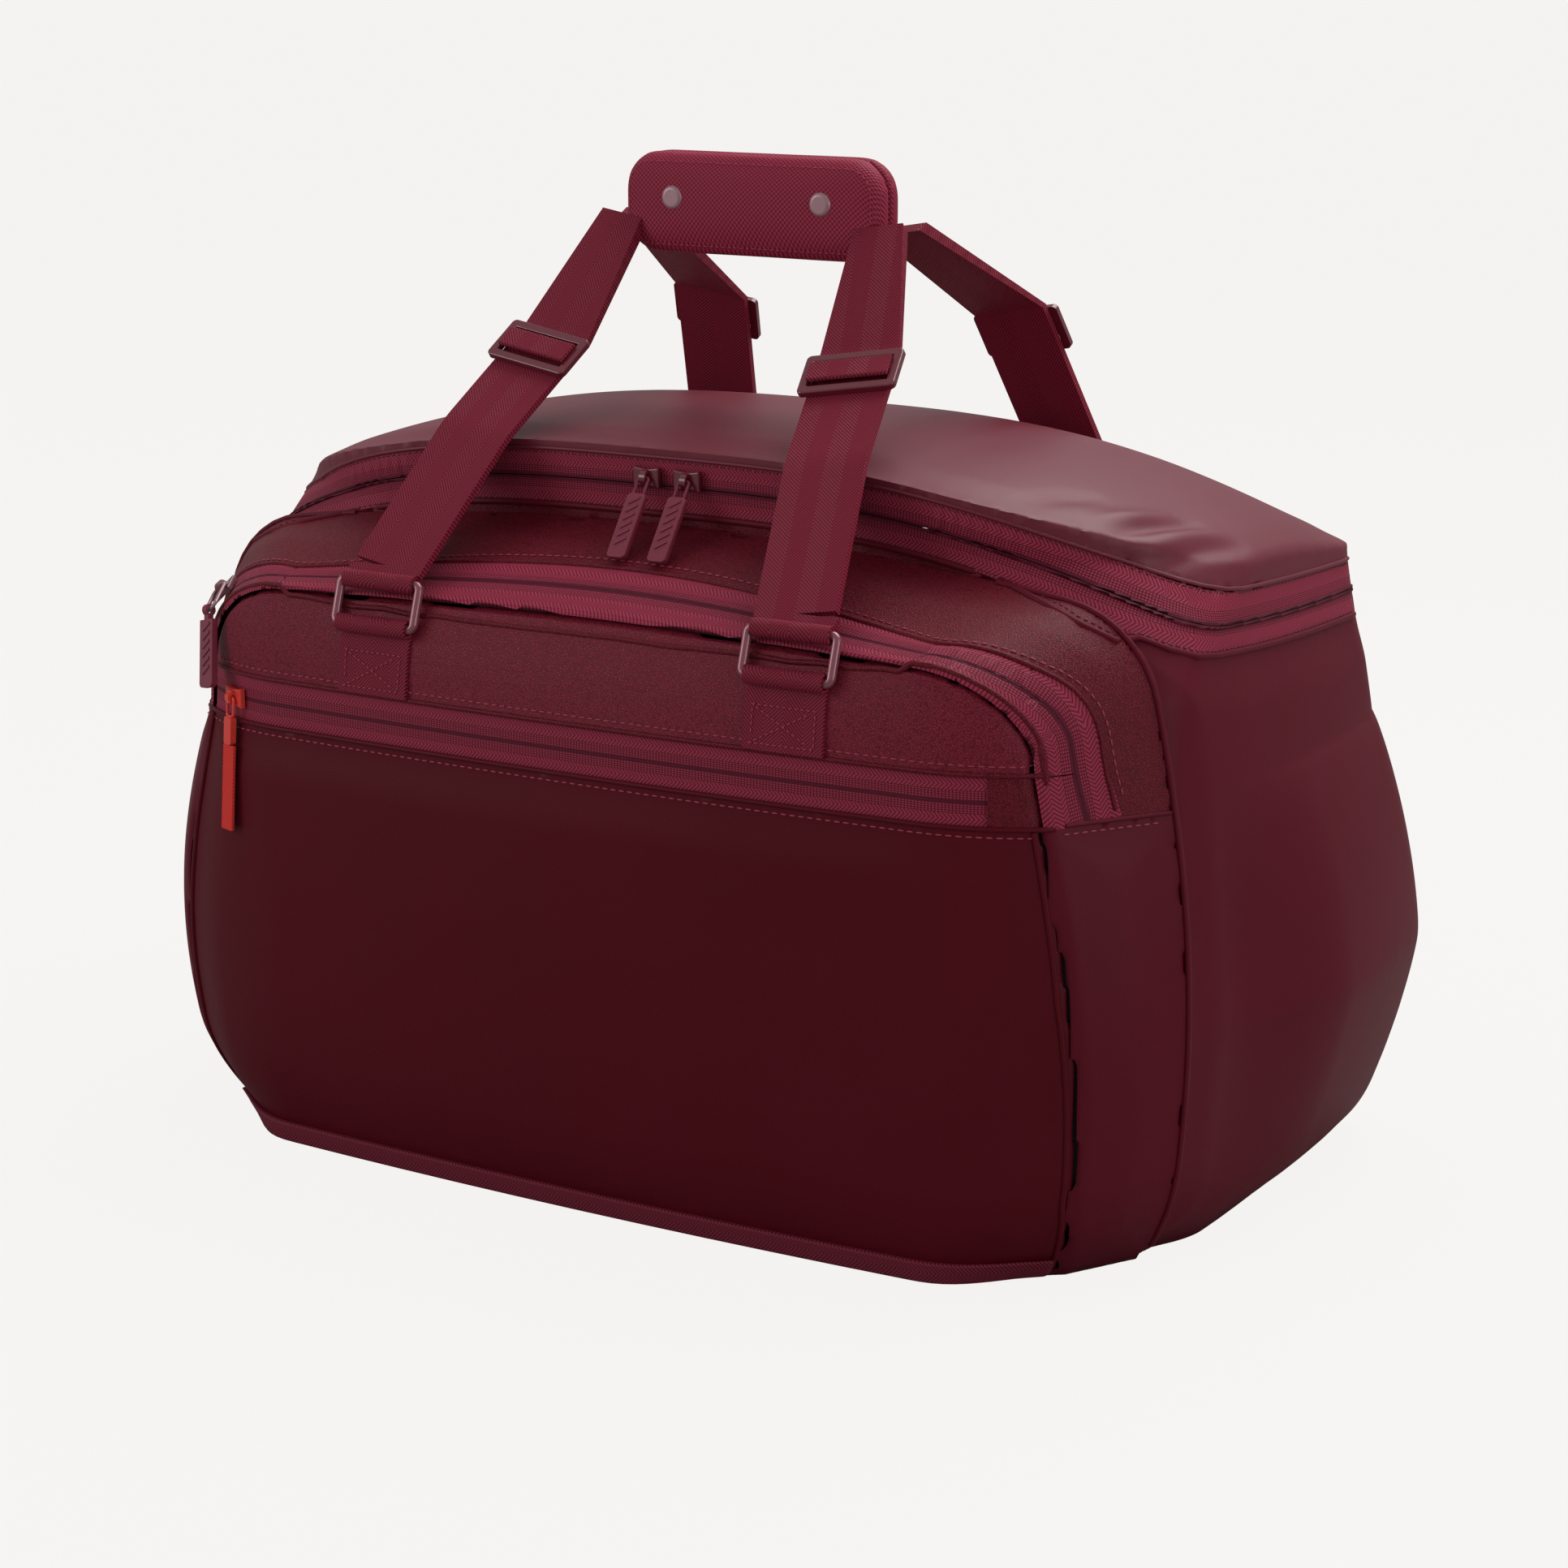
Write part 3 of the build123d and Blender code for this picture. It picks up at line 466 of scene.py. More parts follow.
def even_quads(piece, voxel):
    """Remeshes a closed piece to quads of one size, in millimetres."""
    modifier = piece.modifiers.new("even", "REMESH")
    modifier.mode = "VOXEL"
    modifier.voxel_size = voxel * MM
    apply_modifiers(piece)


def smooth_step(value):
    """0 to 1 with a soft start and a soft end."""
    value = max(0.0, min(1.0, value))
    return value * value * (3 - 2 * value)


def relax(piece, passes, group=""):
    """Smooths a piece, all over or by the weights of a group."""
    modifier = piece.modifiers.new("relax", "SMOOTH")
    modifier.factor = 0.5
    modifier.iterations = passes
    modifier.vertex_group = group
    apply_modifiers(piece)


# %% [markdown]
# Remeshing leaves saw teeth along a sharp edge, because its grid doesn't know where the edge is.
# So the points near an edge are moved back onto it, and two panels meet in one clean line again.

# %% The rim, a crease, and one soft panel
def rim_samples(piece):
    """Points every half millimetre along the sharp edges of a board."""
    mesh = bmesh.new()
    mesh.from_mesh(piece.data)
    spots = []
    for edge in mesh.edges:
        if len(edge.link_faces) == 2 and edge.calc_face_angle(0) > math.radians(38):
            a, b = (v.co for v in edge.verts)
            count = max(1, int((b - a).length / (0.5 * MM)))
            spots += [a.lerp(b, i / count) for i in range(count + 1)]
    mesh.free()
    tree = kdtree.KDTree(len(spots))
    for i, spot in enumerate(spots):
        tree.insert(spot, i)
    tree.balance()
    return tree


RIM_CATCH = 0.85  # a point this share of a voxel from an edge belongs to it
SEAM, SEAM_FADE = 0.003, 0.012  # held to the seam, then freed over this length


def soft_panel(node, cloth, swell, voxel=2.4, reach=26.0, creases=()):
    """A padded panel over a CAD board: even quads with a crisp rim, swelled away from its seams."""
    piece = copy_of(node, node + "_soft")
    rims = rim_samples(piece)
    even_quads(piece, voxel)
    relax(piece, 2)
    for vertex in piece.data.vertices:
        spot, _, gap = rims.find(vertex.co)
        if gap < RIM_CATCH * voxel * MM:
            vertex.co = spot
    around = merged_tree([frame["nodes"][n] for n in SOFT + ["divider_panel", "base_panel"]
                          if n != node and "coil" not in n])
    free = piece.vertex_groups.new(name="free")
    gaps = []
    for vertex in piece.data.vertices:
        gap = around.find_nearest(vertex.co)[3]
        gaps.append(gap)
        free.add([vertex.index], smooth_step((gap - SEAM) / SEAM_FADE), "REPLACE")
    relax(piece, 24, "free")
    normals = [vertex.normal.copy() for vertex in piece.data.vertices]
    for vertex, gap, normal in zip(piece.data.vertices, gaps, normals):
        rise = swell * MM * smooth_step(gap / (reach * MM))
        for start, end, width, depth in creases:
            rise += crease(vertex.co, Vector(start), Vector(end), width, depth)
        vertex.co += normal * rise
    piece.data.materials.append(cloth)
    select_only(piece)
    bpy.ops.object.shade_smooth_by_angle(angle=math.radians(42))
    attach(piece, BODY_OF[node])
    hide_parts(node)
    return piece


def crease(point, start, end, width, depth):
    """A soft fold along a segment, deepest at its middle."""
    span = end - start
    share = (point - start).dot(span) / span.length_squared
    if not -0.1 < share < 1.1:
        return 0.0
    away = (point - start - span * share).length
    fade = math.sin(math.pi * max(0.0, min(1.0, share)))
    return depth * MM * fade * math.exp(-(away / (width * MM)) ** 2)


# %% [markdown]
# The lid is pulled at its right-hand front corner, so a few soft folds run in from there. Each
# is a segment with a half width and a height in millimetres, and a height below 0 is a valley.

# %% The lid's folds and the list of panels
LID_CREASES = [
    ((0.196, -0.056, 0.315), (0.214, -0.006, 0.308), 6, 2.4),
    ((0.206, -0.056, 0.310), (0.223, 0.004, 0.306), 5, -2.2),
    ((0.214, -0.056, 0.305), (0.232, 0.010, 0.300), 6, 2.6),
    ((0.224, -0.050, 0.300), (0.241, 0.012, 0.297), 5, -2.0),
    ((0.168, -0.066, 0.318), (0.190, -0.024, 0.320), 7, -1.6),
]
PANELS = [
    ("lid_panel", lid_lit_cloth, dict(swell=2.0, creases=LID_CREASES)),
    ("end_panel_left", end_lit_cloth, dict(swell=2.4)),
    ("end_panel_right", end_lit_cloth, dict(swell=2.4)),
    ("back_panel", body_cloth, dict(swell=2.4)),
    ("front_panel_lower", body_cloth, dict(swell=2.4)),
    ("flap_panel", flap_lit_grain, dict(swell=0.8, voxel=2.0, reach=16)),
    ("top_gusset", grain, dict(swell=1.0, voxel=2.0)),
    ("side_gusset_left", end_lit_cloth, dict(swell=1.4)),
    ("side_gusset_right", end_lit_cloth, dict(swell=1.4)),
    ("front_yoke", grain, dict(swell=0.4, voxel=1.6, reach=8)),
    ("pocket_end_panel", grain, dict(swell=0.3, voxel=1.4, reach=8)),
    ("base_panel", body_cloth, dict(swell=0.0, voxel=3.0)),
    ("divider_panel", body_cloth, dict(swell=0.0, voxel=3.0)),
    ("pocket_lining", lining, dict(swell=0.0, voxel=0.9)),
]
soft = {node: soft_panel(node, cloth, **how) for node, cloth, how in PANELS}
print("soft panels:", sum(len(p.data.polygons) for p in soft.values()), "faces")

# %% [markdown]
# ## Woven pieces keep their CAD shape
# Zip tape and webbing are thin and flat, so their CAD solids have the right form already. What
# they lack is a map that follows them. Unwrapping would cut it into islands, so each piece gets
# U and V from the line it lies along, and its weave runs on without a break.


# %% UV maps along a line
def lay_weave(piece, points, across_of):
    """Writes U as the length along a line and V as the distance across it, in metres."""
    lengths = [0.0]
    for a, b in zip(points, points[1:]):
        lengths.append(lengths[-1] + (b - a).length)
    tree = kdtree.KDTree(len(points))
    for i, p in enumerate(points):
        tree.insert(p, i)
    tree.balance()
    flat = []
    for vertex in piece.data.vertices:
        _, i, _ = tree.find(vertex.co)
        tangent = (points[min(i + 1, len(points) - 1)] - points[max(i - 1, 0)]).normalized()
        away = vertex.co - points[i]
        flat.append((lengths[i] + away.dot(tangent), away.dot(across_of(i, tangent))))
    layer = piece.data.uv_layers.new(name="along_across")
    for loop in piece.data.loops:
        layer.data[loop.index].uv = flat[loop.vertex_index]


def woven(node, cloth, points, across_of, bevel=0.0):
    """A copy of a thin CAD piece with its edges eased, its map laid and its cloth on."""
    piece = copy_of(node, node + "_woven")
    if bevel:
        modifier = piece.modifiers.new("ease", "BEVEL")
        modifier.width = bevel * MM
        modifier.segments = 2
        modifier.limit_method = "ANGLE"
        modifier.angle_limit = math.radians(50)
        apply_modifiers(piece)
    lay_weave(piece, points, across_of)
    piece.data.materials.append(cloth)
    select_only(piece)
    bpy.ops.object.shade_smooth_by_angle(angle=math.radians(38))
    modifier = piece.modifiers.new("even_light", "WEIGHTED_NORMAL")
    modifier.weight = 100
    modifier.keep_sharp = True
    apply_modifiers(piece)
    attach(piece, BODY_OF[node])
    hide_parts(node)
    return piece


# %% Zip tapes, coils and the binding
X, Y, Z = Vector((1, 0, 0)), Vector((0, 1, 0)), Vector((0, 0, 1))
lid_middle = lid_line(0.0, MM)
arch_middle = arch_line(ARCH_ZIP, MM)
pocket_middle = level_line(POCKET_ZIP, -0.222, 0.197, MM)
for half in ("lower", "upper"):
    woven(f"lid_zip_tape_{half}", zip_cloth, lid_middle, lambda i, t: Z)
    woven(f"lid_zip_coil_{half}", coil_nylon, lid_middle, lambda i, t: Z)
for half in ("inner", "outer"):
    woven(f"arch_zip_tape_{half}", zip_cloth, arch_middle, lambda i, t: Y)
    woven(f"arch_zip_coil_{half}", coil_nylon, arch_middle, lambda i, t: Y)
woven("pocket_zip_tape", zip_cloth, pocket_middle, lambda i, t: Z)
woven("pocket_zip_coil", coil_nylon, pocket_middle, lambda i, t: Z)
woven("bottom_binding", binding, level_line(0.006, -0.225, 0.225, MM), lambda i, t: Z, bevel=1.2)
print("zips:", len(lid_middle), "mm round the lid,", len(arch_middle), "mm over the pocket")

# %% [markdown]
# ## Beads and stitches
# A hem is cloth folded back on itself, so its edge is a small roll. Each roll is a tube along a
# line of the bag. A stitch is one short capsule, modelled once and copied at thread spacing. A
# stitch in a bump map would be flat in the silhouette.


# %% Rolled hems
def bead(name, points, radius, cloth, body):
    """A round roll along a line, its radius in millimetres."""
    curve = bpy.data.curves.new(name, "CURVE")
    curve.dimensions = "3D"
    curve.bevel_depth = radius * MM
    curve.bevel_resolution = 3
    curve.use_fill_caps = True
    spline = curve.splines.new("POLY")
    spline.points.add(len(points) - 1)
    for slot, p in zip(spline.points, points):
        slot.co = (*p, 1)
    piece = bpy.data.objects.new(name, curve)
    bpy.context.scene.collection.objects.link(piece)
    select_only(piece)
    bpy.ops.object.convert(target="MESH")
    piece = bpy.context.view_layer.objects.active
    piece.data.materials.append(cloth)
    for face in piece.data.polygons:
        face.use_smooth = True
    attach(piece, body)
    return piece


# %% Rows of stitches
bpy.ops.object.select_all(action="DESELECT")
bpy.ops.mesh.primitive_uv_sphere_add(segments=8, ring_count=5, radius=1.0)
capsule = bpy.context.view_layer.objects.active
capsule_mesh = capsule.data.copy()
bpy.data.objects.remove(capsule)


def stitches(name, points, thread, body, pitch=4.2, length=3.2, thick=0.42, facing=None):
    """A row of stitches, in millimetres, on a line that already lies on the cloth."""
    out = bmesh.new()
    spots = evenly(points, pitch * MM)
    for i in range(len(spots) - 1):
        tangent = (spots[i + 1] - spots[i]).normalized()
        normal = facing or outer_skin.find_nearest(spots[i])[1]
        across = normal.cross(tangent).normalized()
        normal = tangent.cross(across)
        place = Matrix((tangent * length / 2 * MM, across * thick * MM,
                        normal * thick * 0.8 * MM)).transposed().to_4x4()
        place.translation = spots[i]
        start = len(out.verts)
        out.from_mesh(capsule_mesh)
        out.verts.ensure_lookup_table()
        for vertex in out.verts[start:]:
            vertex.co = place @ vertex.co
    mesh = bpy.data.meshes.new(name)
    out.to_mesh(mesh)
    out.free()
    for face in mesh.polygons:
        face.use_smooth = True
    mesh.materials.append(thread)
    piece = bpy.data.objects.new(name, mesh)
    bpy.context.scene.collection.objects.link(piece)
    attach(piece, body)
    return piece


woven_now = [o for o in bpy.data.objects if o.name.endswith("_woven")]
outer_skin = merged_tree(list(soft.values()) + woven_now)
PROUD = 0.2  # how far the middle of a thread lies over the cloth, in millimetres
print("the finished skin:", len(soft) + len(woven_now), "pieces")

# %% [markdown]
# Stitches lie on the finished cloth, which has swelled since its line was cast, so each line is
# settled onto it first. The seams on the ends and beside the front panel get lines of their own.


# %% Lines for seams and stitches
def settle(points):
    """Moves a line onto the finished cloth, a little proud of it."""
    out = []
    for p in points:
        near, normal, _, _ = outer_skin.find_nearest(p)
        if (p - near).dot(normal) < 0 and normal.dot(skin.find_nearest(p)[1]) < 0:
            normal = -normal
        out.append(near + normal * PROUD * MM)
    return out


def section_line(y, hand):
    """Up one end of the bag at a depth, then over its shoulder."""
    guides = [((hand * 0.5, 0.008 + 0.008 * i), (-hand, 0)) for i in range(25)]
    for turn in range(0, 86, 5):
        a = math.radians(turn)
        guides.append(((hand * (0.16 + 0.3 * math.cos(a)), 0.2 + 0.3 * math.sin(a)),
                       (-hand * math.cos(a), -math.sin(a))))
    points = [cast((x, y, z), (dx, 0, dz)) for (x, z), (dx, dz) in guides]
    return evenly([p for p in points if p is not None], 0.002)


def front_seam(hand, low, high):
    """Up the seam where the front panel gives way to a side gusset."""
    panel = merged_tree([frame["nodes"]["front_panel_lower"]])
    points = []
    for i in range(int((high - low) / 0.004) + 1):
        z, near, far = low + 0.004 * i, 0.200, 0.250
        for _ in range(12):
            x = (near + far) / 2
            first = cast((hand * x, -0.5, z), (0, 1, 0))
            face = panel.ray_cast(Vector((hand * x, -0.5, z)), Y)[0]
            if face is not None and first is not None and face.y < first.y + 0.0004:
                near = x
            else:
                far = x
        spot = cast((hand * near, -0.5, z), (0, 1, 0))
        if spot is not None:
            points.append(spot)
    return evenly(points, 0.002)


def gusset_top(hand, z):
    """Along the top of a side gusset, from the front face round to the end."""
    points = [cast((hand * 0.5, -0.126 + 0.003 * i, z), (-hand, 0, 0)) for i in range(15)]
    return evenly([p for p in points if p is not None], 0.002)


# %% Every hem and row of stitches
HANDS = (("left", -1), ("right", 1))
for word, hand in HANDS:
    bead(f"end_seam_{word}", section_line(-0.0832, hand), 1.4, end_lit_cloth, "bag_body")
    bead(f"front_seam_{word}", front_seam(hand, 0.006, 0.202), 1.2, body_cloth, "bag_body")
    bead(f"gusset_hem_{word}", gusset_top(hand, 0.2030), 1.0, end_lit_cloth, "bag_body")
    stitches(f"gusset_stitches_{word}", settle(gusset_top(hand, 0.1995)), thread_pink, "bag_body")
# The zip tape is 24 mm wide with its coil, so a hem rolls 12.5 mm from the middle, just past it.
HEM_LINE, HEM_STITCH = 0.0125, 0.0108
bead("lid_upper_hem", lid_line(HEM_LINE), 1.0, lid_lit_cloth, "lid")
bead("lid_lower_hem", lid_line(-HEM_LINE), 1.5, end_lit_cloth, "bag_body")
stitches("lid_upper_stitches", settle(lid_line(HEM_STITCH)), thread_dark, "lid", 3.4, 2.2, 0.32)
stitches("lid_lower_stitches", settle(lid_line(-HEM_STITCH)), thread_dark, "bag_body", 3.4, 2.2, 0.32)
bead("arch_outer_hem", arch_line(0.0222), 1.1, grain, "bag_body")
bead("arch_inner_hem", arch_line(0.0002, low=0.226), 1.3, grain, "front_flap")
stitches("arch_outer_stitches", settle(arch_line(0.0258)), thread_pink, "bag_body")
bead("pocket_lower_hem", level_line(0.2020, -0.222, 0.222), 1.1, body_cloth, "bag_body")
bead("pocket_upper_hem", level_line(0.2245, -0.219, 0.219), 1.1, grain, "front_flap")
stitches("pocket_lower_stitches", settle(level_line(0.1985, -0.220, 0.220)), thread_pink,
         "bag_body")
stitches("pocket_upper_stitches", settle(level_line(0.2282, -0.217, 0.217)), thread_pink,
         "front_flap")
print("hems and stitches are on")

# %% [markdown]
# ## Handles
# Each handle is two legs of 38 mm webbing. A leg folds round its loop, doubles back to a
# three-bar slide and goes on, single, into the end of the grip. Loops and slides are castings,
# and their CAD forms are right, so they only take their paint.

# %% Webbing legs, patches and hardware
FOOT, YAW = 0.1065, math.radians(10.6)  # a leg's foot from the middle, and its lean inwards
LEGS = {  # which side of the bag, and y and z from the loop to the grip
    "front": (-1, [(-0.1464, 0.2750), (-0.092, 0.338), (-0.042, 0.378), (-0.003, 0.429)]),
    "back": (1, [(0.1515, 0.2659), (0.136, 0.298), (0.092, 0.385), (0.011, 0.429)]),
}


def leg_line(side, heights, hand):
    """The middle of a leg from its loop to the grip, and the direction across it."""
    path = [Vector((hand * FOOT, y, z)) for y, z in heights]
    low = (path[1] - path[0]).normalized()
    out = Vector((0, side * abs(low.z), abs(low.y)))
    turn = Matrix.Rotation(-side * hand * YAW, 3, out)
    path = [path[0] + turn @ (p - path[0]) for p in path]
    return evenly(path, MM), turn @ X


def refinish(node, finish):
    """Gives a CAD node that keeps its shape its own finish."""
    frame["nodes"][node].data.materials.clear()
    frame["nodes"][node].data.materials.append(finish)


for handle, (side, heights) in LEGS.items():
    for word, hand in HANDS:
        line, across = leg_line(side, heights, hand)
        woven(f"{handle}_strap_{word}", webbing, line, lambda i, t, a=across: a, bevel=0.7)
        woven(f"{handle}_triglide_web_{word}", webbing, line, lambda i, t, a=across: a)
        low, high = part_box(f"{handle}_patch_{word}")
        middle = (low + high) / 2
        upright = [Vector((middle.x, middle.y, low.z - 0.002 + MM * i)) for i in range(45)]
        woven(f"{handle}_patch_{word}", webbing, upright, lambda i, t: X, bevel=0.6)
        # The loops take the lighter paint, with its painted reflection.
        refinish(f"{handle}_loop_{word}", loop_lit_paint)
        refinish(f"{handle}_triglide_{word}", painted)
        print(handle, word, "leg:", len(line), "mm of webbing")

# %% [markdown]
# The folded end of each anchor patch is sewn down with a box of stitches and a cross in it.

# %% Stitches on the patches
def on_piece(piece, corners, side, lift=0.3):
    """A polyline drawn on a piece's outer face from x and z corners."""
    tree = merged_tree([piece])
    points = []
    for (x0, z0), (x1, z1) in zip(corners, corners[1:]):
        for i in range(12):
            start = Vector((x0 + (x1 - x0) * i / 11, 0.5 * side, z0 + (z1 - z0) * i / 11))
            spot = tree.ray_cast(start, Vector((0, -side, 0)))[0]
            if spot is not None:
                points.append(spot + Vector((0, side * lift * MM, 0)))
    return evenly(points, MM)


HEM, BOX_LOW, BOX_HIGH = 0.004, 0.003, 0.019
for handle, (side, _) in LEGS.items():
    for word, _ in HANDS:
        node = f"{handle}_patch_{word}"
        low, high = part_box(node)
        x0, x1, z0, z1 = low.x + HEM, high.x - HEM, low.z + BOX_LOW, low.z + BOX_HIGH
        box = [(x0, z0), (x1, z0), (x1, z1), (x0, z1), (x0, z0)]
        rows = {"box": box, "rise": [(x0, z0), (x1, z1)], "fall": [(x0, z1), (x1, z0)]}
        for row, corners in rows.items():
            line = on_piece(bpy.data.objects[node + "_woven"], corners, side)
            if len(line) > 10:
                stitches(f"{handle}_patch_{row}_{word}", line, thread_pink, BODY_OF[node],
                         2.9, 2.2, 0.36, facing=Vector((0, side, 0)))

# %% [markdown]
# ## Grip
# The grip is a folded foam pad in ballistic nylon with a stitched edge. Foam swells between its
# seams, so each half is simulated as cloth with air inside, from a slightly smaller start, and
# no point may move further than the foam would let it.

# %% The padded grip halves
GRIP_CAP = 2.2 * MM  # the furthest that a point may move
GRIP_STEPS = 12  # frames of cloth, enough for the foam to fill out
FOLD, FOLD_GAP = 0.004, 0.0002  # where the two halves meet, and the air between them


def grip_half(node, out):
    """One swelled half of the grip, on the side that out points to."""
    piece = copy_of(node, node + "_pad")
    even_quads(piece, 2.4)
    relax(piece, 3)
    start = [v.co.copy() for v in piece.data.vertices]
    cloth = piece.modifiers.new("foam", "CLOTH")
    cloth.settings.use_pressure = True
    cloth.settings.uniform_pressure_force = 3.0
    cloth.settings.effector_weights.gravity = 0.0
    cloth.settings.quality = 4
    for step in range(1, GRIP_STEPS + 1):
        bpy.context.scene.frame_set(step)
    apply_modifiers(piece)
    bpy.context.scene.frame_set(1)
    for vertex, rest in zip(piece.data.vertices, start):
        move = vertex.co - rest
        if move.length > GRIP_CAP:
            vertex.co = rest + move.normalized() * GRIP_CAP
        if (vertex.co.y - FOLD) * out < FOLD_GAP:
            vertex.co.y = FOLD + out * FOLD_GAP
    modifier = piece.modifiers.new("finer", "SUBSURF")
    modifier.levels = modifier.render_levels = 1
    apply_modifiers(piece)
    piece.data.materials.append(grip_cloth)
    for face in piece.data.polygons:
        face.use_smooth = True
    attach(piece, BODY_OF[node])
    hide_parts(node)
    return piece


# %% A ring of stitches on each half
EDGE, ROUND = 0.0045, 0.012  # in from the grip's edge, and the ring's corner radius
grips = {"grip_front": -1, "grip_back": 1}
pads = {node: grip_half(node, side) for node, side in grips.items()}
for node, side in grips.items():
    low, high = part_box(node)
    x, z0, z1 = high.x - EDGE, low.z + EDGE, high.z - EDGE
    turn = [(math.cos(math.radians(a)), math.sin(math.radians(a))) for a in range(0, 91, 15)]
    ring = [(x - ROUND + ROUND * c, z1 - ROUND + ROUND * s) for c, s in turn]
    ring += [(-px, pz) for px, pz in reversed(ring)]
    ring += [(px, z0 + z1 - pz) for px, pz in reversed(ring)]
    line = on_piece(pads[node], ring + ring[:1], side, PROUD)
    stitches(node + "_stitches", line, thread_pink, BODY_OF[node], 3.2, 2.1, 0.34,
             facing=Vector((0, side, 0)))
    print(node, "ring:", len(line), "mm")

# %% [markdown]
# ## Small metal parts
# Sliders, pulls, snaps and studs are hard and small, and their CAD forms are right, so they stay
# as they are. Only their finish changes. The red pull ends in a short tail of woven tape.

# %% Finishes on carried-over pieces
FINISH = {
    "snap_caps": snap_paint, "snap_studs": steel, "base_board": board,
    "lid_slider_left": painted, "lid_slider_right": painted, "arch_slider": painted,
    "lid_pull_left": pull_rubber, "lid_pull_right": pull_rubber, "arch_pull": pull_rubber,
    "arch_ring": snap_paint, "pocket_slider": red_paint, "pocket_pull": red_paint,
}
for node, finish in FINISH.items():
    refinish(node, finish)
low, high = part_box("pocket_pull_tail")
middle = (low + high) / 2
tail_line = [Vector((middle.x, middle.y, high.z - MM * i)) for i in range(41)]
TAIL_ACROSS = Vector((0.85, 0.53, 0))  # the tail faces the bag's rounded corner
woven("pocket_pull_tail", red_cloth, tail_line, lambda i, t: TAIL_ACROSS, bevel=0.3)
print("refinished:", len(FINISH), "nodes")

# %% [markdown]
# ## How the filled bag sits
# Foam and cloth round off where the board model has corners. The foot of each end tucks under,
# the front corners fill out a little, the left one more, and the ends belly out towards the
# back. One smooth move does this to every sewn piece alike, so no seam opens.

# %% Tuck the foot, fill the front corners and belly the ends
TUCK_OUT, TUCK_BACK, FOOT_RISE = 0.013, 0.010, 0.050
FILL_LEFT, FILL_RIGHT, FILL_AT, FILL_WIDE = 0.015, 0.006, (0.232, -0.115), 0.040
BELLY, WALL = 0.015, 0.205  # how far the ends swell, and how high their walls are


def sit(point):
    """How far a point of the filled bag moves."""
    hand = 1 if point.x > 0 else -1
    front = smooth_step((-0.03 - point.y) / 0.06)
    end = smooth_step((abs(point.x) - 0.17) / 0.06)
    foot = max(0.0, 1 - point.z / FOOT_RISE) ** 2 * end * front
    away = math.hypot(abs(point.x) - FILL_AT[0], point.y - FILL_AT[1]) / FILL_WIDE
    height = max(0.0, min(1.0, point.z / WALL))
    fill = FILL_LEFT if hand < 0 else FILL_RIGHT
    fill *= math.exp(-away * away) * math.sin(math.pi * height)
    belly = BELLY * end * smooth_step((point.y + 0.05) / 0.08) * math.sin(math.pi * height) ** 0.8
    return Vector((hand * (0.8 * fill - TUCK_OUT * foot + belly),
                   TUCK_BACK * foot - 0.45 * fill + 0.45 * belly, 0))


sewn = [piece for piece in bpy.data.objects if piece.type == "MESH"
        and piece.name not in frame["nodes"] and piece.get("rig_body") == "bag_body"]
for piece in sewn:
    for vertex in piece.data.vertices:
        vertex.co += sit(vertex.co)
print("settled:", len(sewn), "pieces")

# %% [markdown]
# ## Stage, light and camera
# A plain pale floor and a white sky, one broad soft key from above and behind, a weak fill from
# the front left and a weaker edge light from the right. Only rays from the camera see the floor
# and the sky at full strength, so the ground is white without more light falling on the bag.

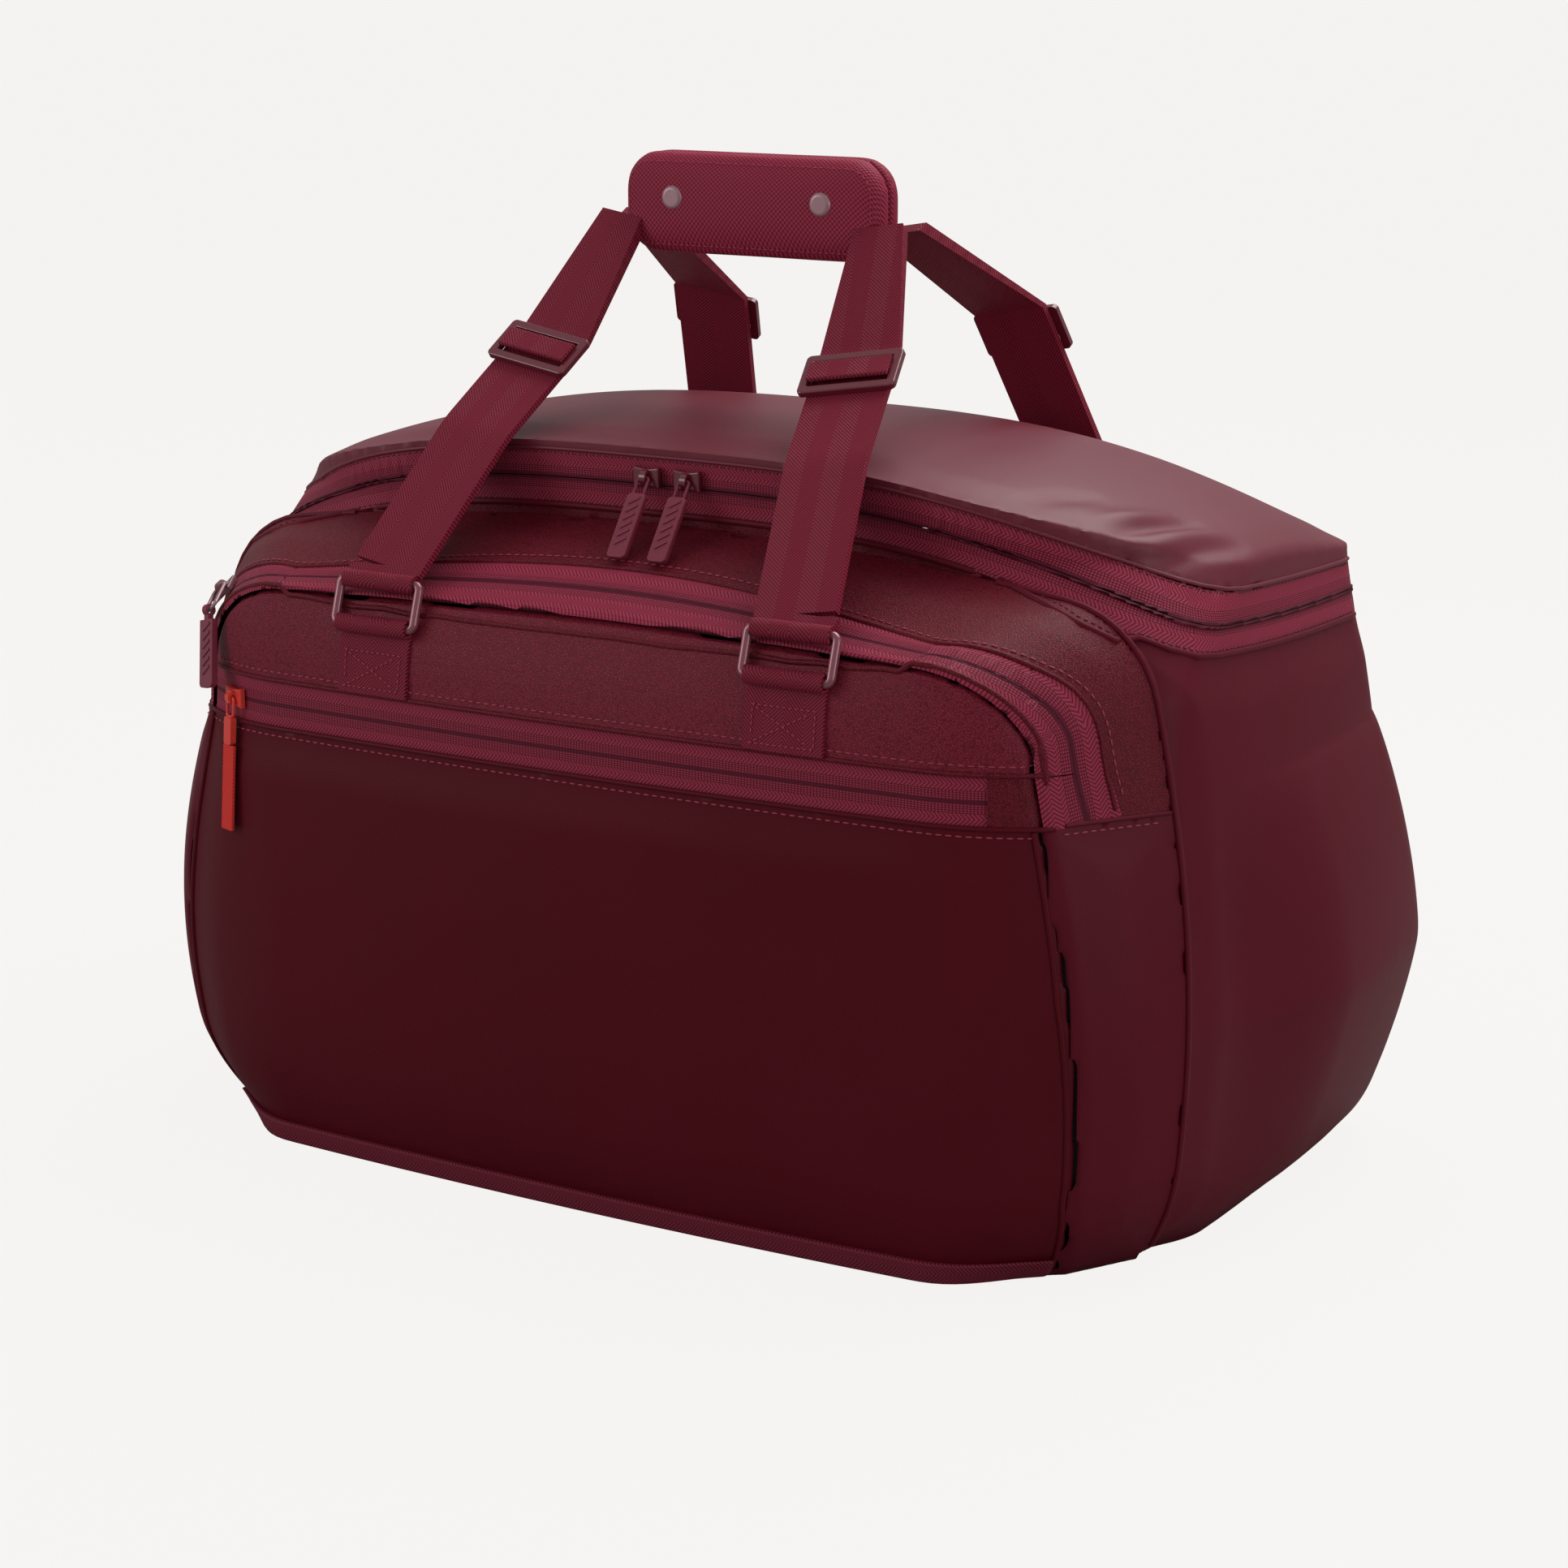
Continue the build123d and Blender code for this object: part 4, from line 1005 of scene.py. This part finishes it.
# %% The floor and the sky
BACKDROP = "#f6f4f2"
bpy.ops.object.select_all(action="DESELECT")
bpy.ops.mesh.primitive_plane_add(size=60.0, location=(0, 0, 0))
floor = bpy.context.view_layer.objects.active
floor.name = "floor"
paper, tree, shader = finish_named("matte_paper", Roughness=0.9, Specular_IOR_Level=0.1)
shader.inputs["Base Color"].default_value = colour("#a3a19f")
seen = math_node(tree, "MULTIPLY", add(tree, "ShaderNodeLightPath").outputs["Is Camera Ray"], 0.9)
glow = add(tree, "ShaderNodeEmission", {"Color": colour(BACKDROP), "Strength": 1.08})
mixed = add(tree, "ShaderNodeMixShader", {0: seen, 1: shader.outputs[0], 2: glow.outputs[0]})
tree.links.new(mixed.outputs[0], tree.nodes["Material Output"].inputs["Surface"])
floor.data.materials.append(paper)

world = bpy.data.worlds.new("studio")
bpy.context.scene.world = world
world.use_nodes = True
sky = world.node_tree
seen = add(sky, "ShaderNodeLightPath").outputs["Is Camera Ray"]
level = add(sky, "ShaderNodeMapRange", {"Value": seen, "To Min": 0.42, "To Max": 1.0}).outputs[0]
sky.links.new(level, sky.nodes["Background"].inputs["Strength"])
sky.nodes["Background"].inputs["Color"].default_value = colour(BACKDROP)


# %% [markdown]
# Large lamps give the soft edges that cloth needs. The camera stands 1.7 m away with a long
# lens, so the bag keeps its lines.


# %% Lamps and camera
def softbox(name, place, aim, size, power):
    """A rectangular lamp, its size in metres and its power in watts."""
    lamp = bpy.data.lights.new(name, "AREA")
    lamp.shape = "RECTANGLE"
    lamp.size, lamp.size_y = size
    lamp.energy = power
    light = bpy.data.objects.new(name, lamp)
    bpy.context.scene.collection.objects.link(light)
    light.location = place
    light.rotation_euler = (Vector(aim) - Vector(place)).to_track_quat("-Z", "Y").to_euler()


softbox("key_above", (0.3, 0.75, 1.7), (0, 0, 0.25), (1.5, 1.1), 22)
softbox("fill_left", (-1.7, -1.7, 1.0), (0, 0, 0.2), (1.2, 1.2), 13)
softbox("edge_right", (2.1, -0.5, 0.7), (0, 0, 0.2), (0.8, 1.4), 7)

lens = bpy.data.cameras.new("camera")
lens.sensor_width, lens.lens, lens.clip_end = 36.0, 80.18, 50.0
camera = bpy.data.objects.new("camera", lens)
bpy.context.scene.collection.objects.link(camera)
turn, lift = math.radians(30.865), math.radians(14.183)  # round from the front, and up
back = Vector((math.sin(turn) * math.cos(lift), -math.cos(turn) * math.cos(lift), math.sin(lift)))
right = Vector((math.cos(turn), math.sin(turn), 0))
pose = Matrix((right, back.cross(right), back)).transposed().to_4x4()
pose.translation = Vector((0.830, -1.3642, 0.5678))
camera.matrix_world = pose
bpy.context.scene.camera = camera
bpy.context.scene.view_settings.view_transform = "Standard"
print("camera", round(pose.translation.length, 2), "m from the middle of the bag's base")
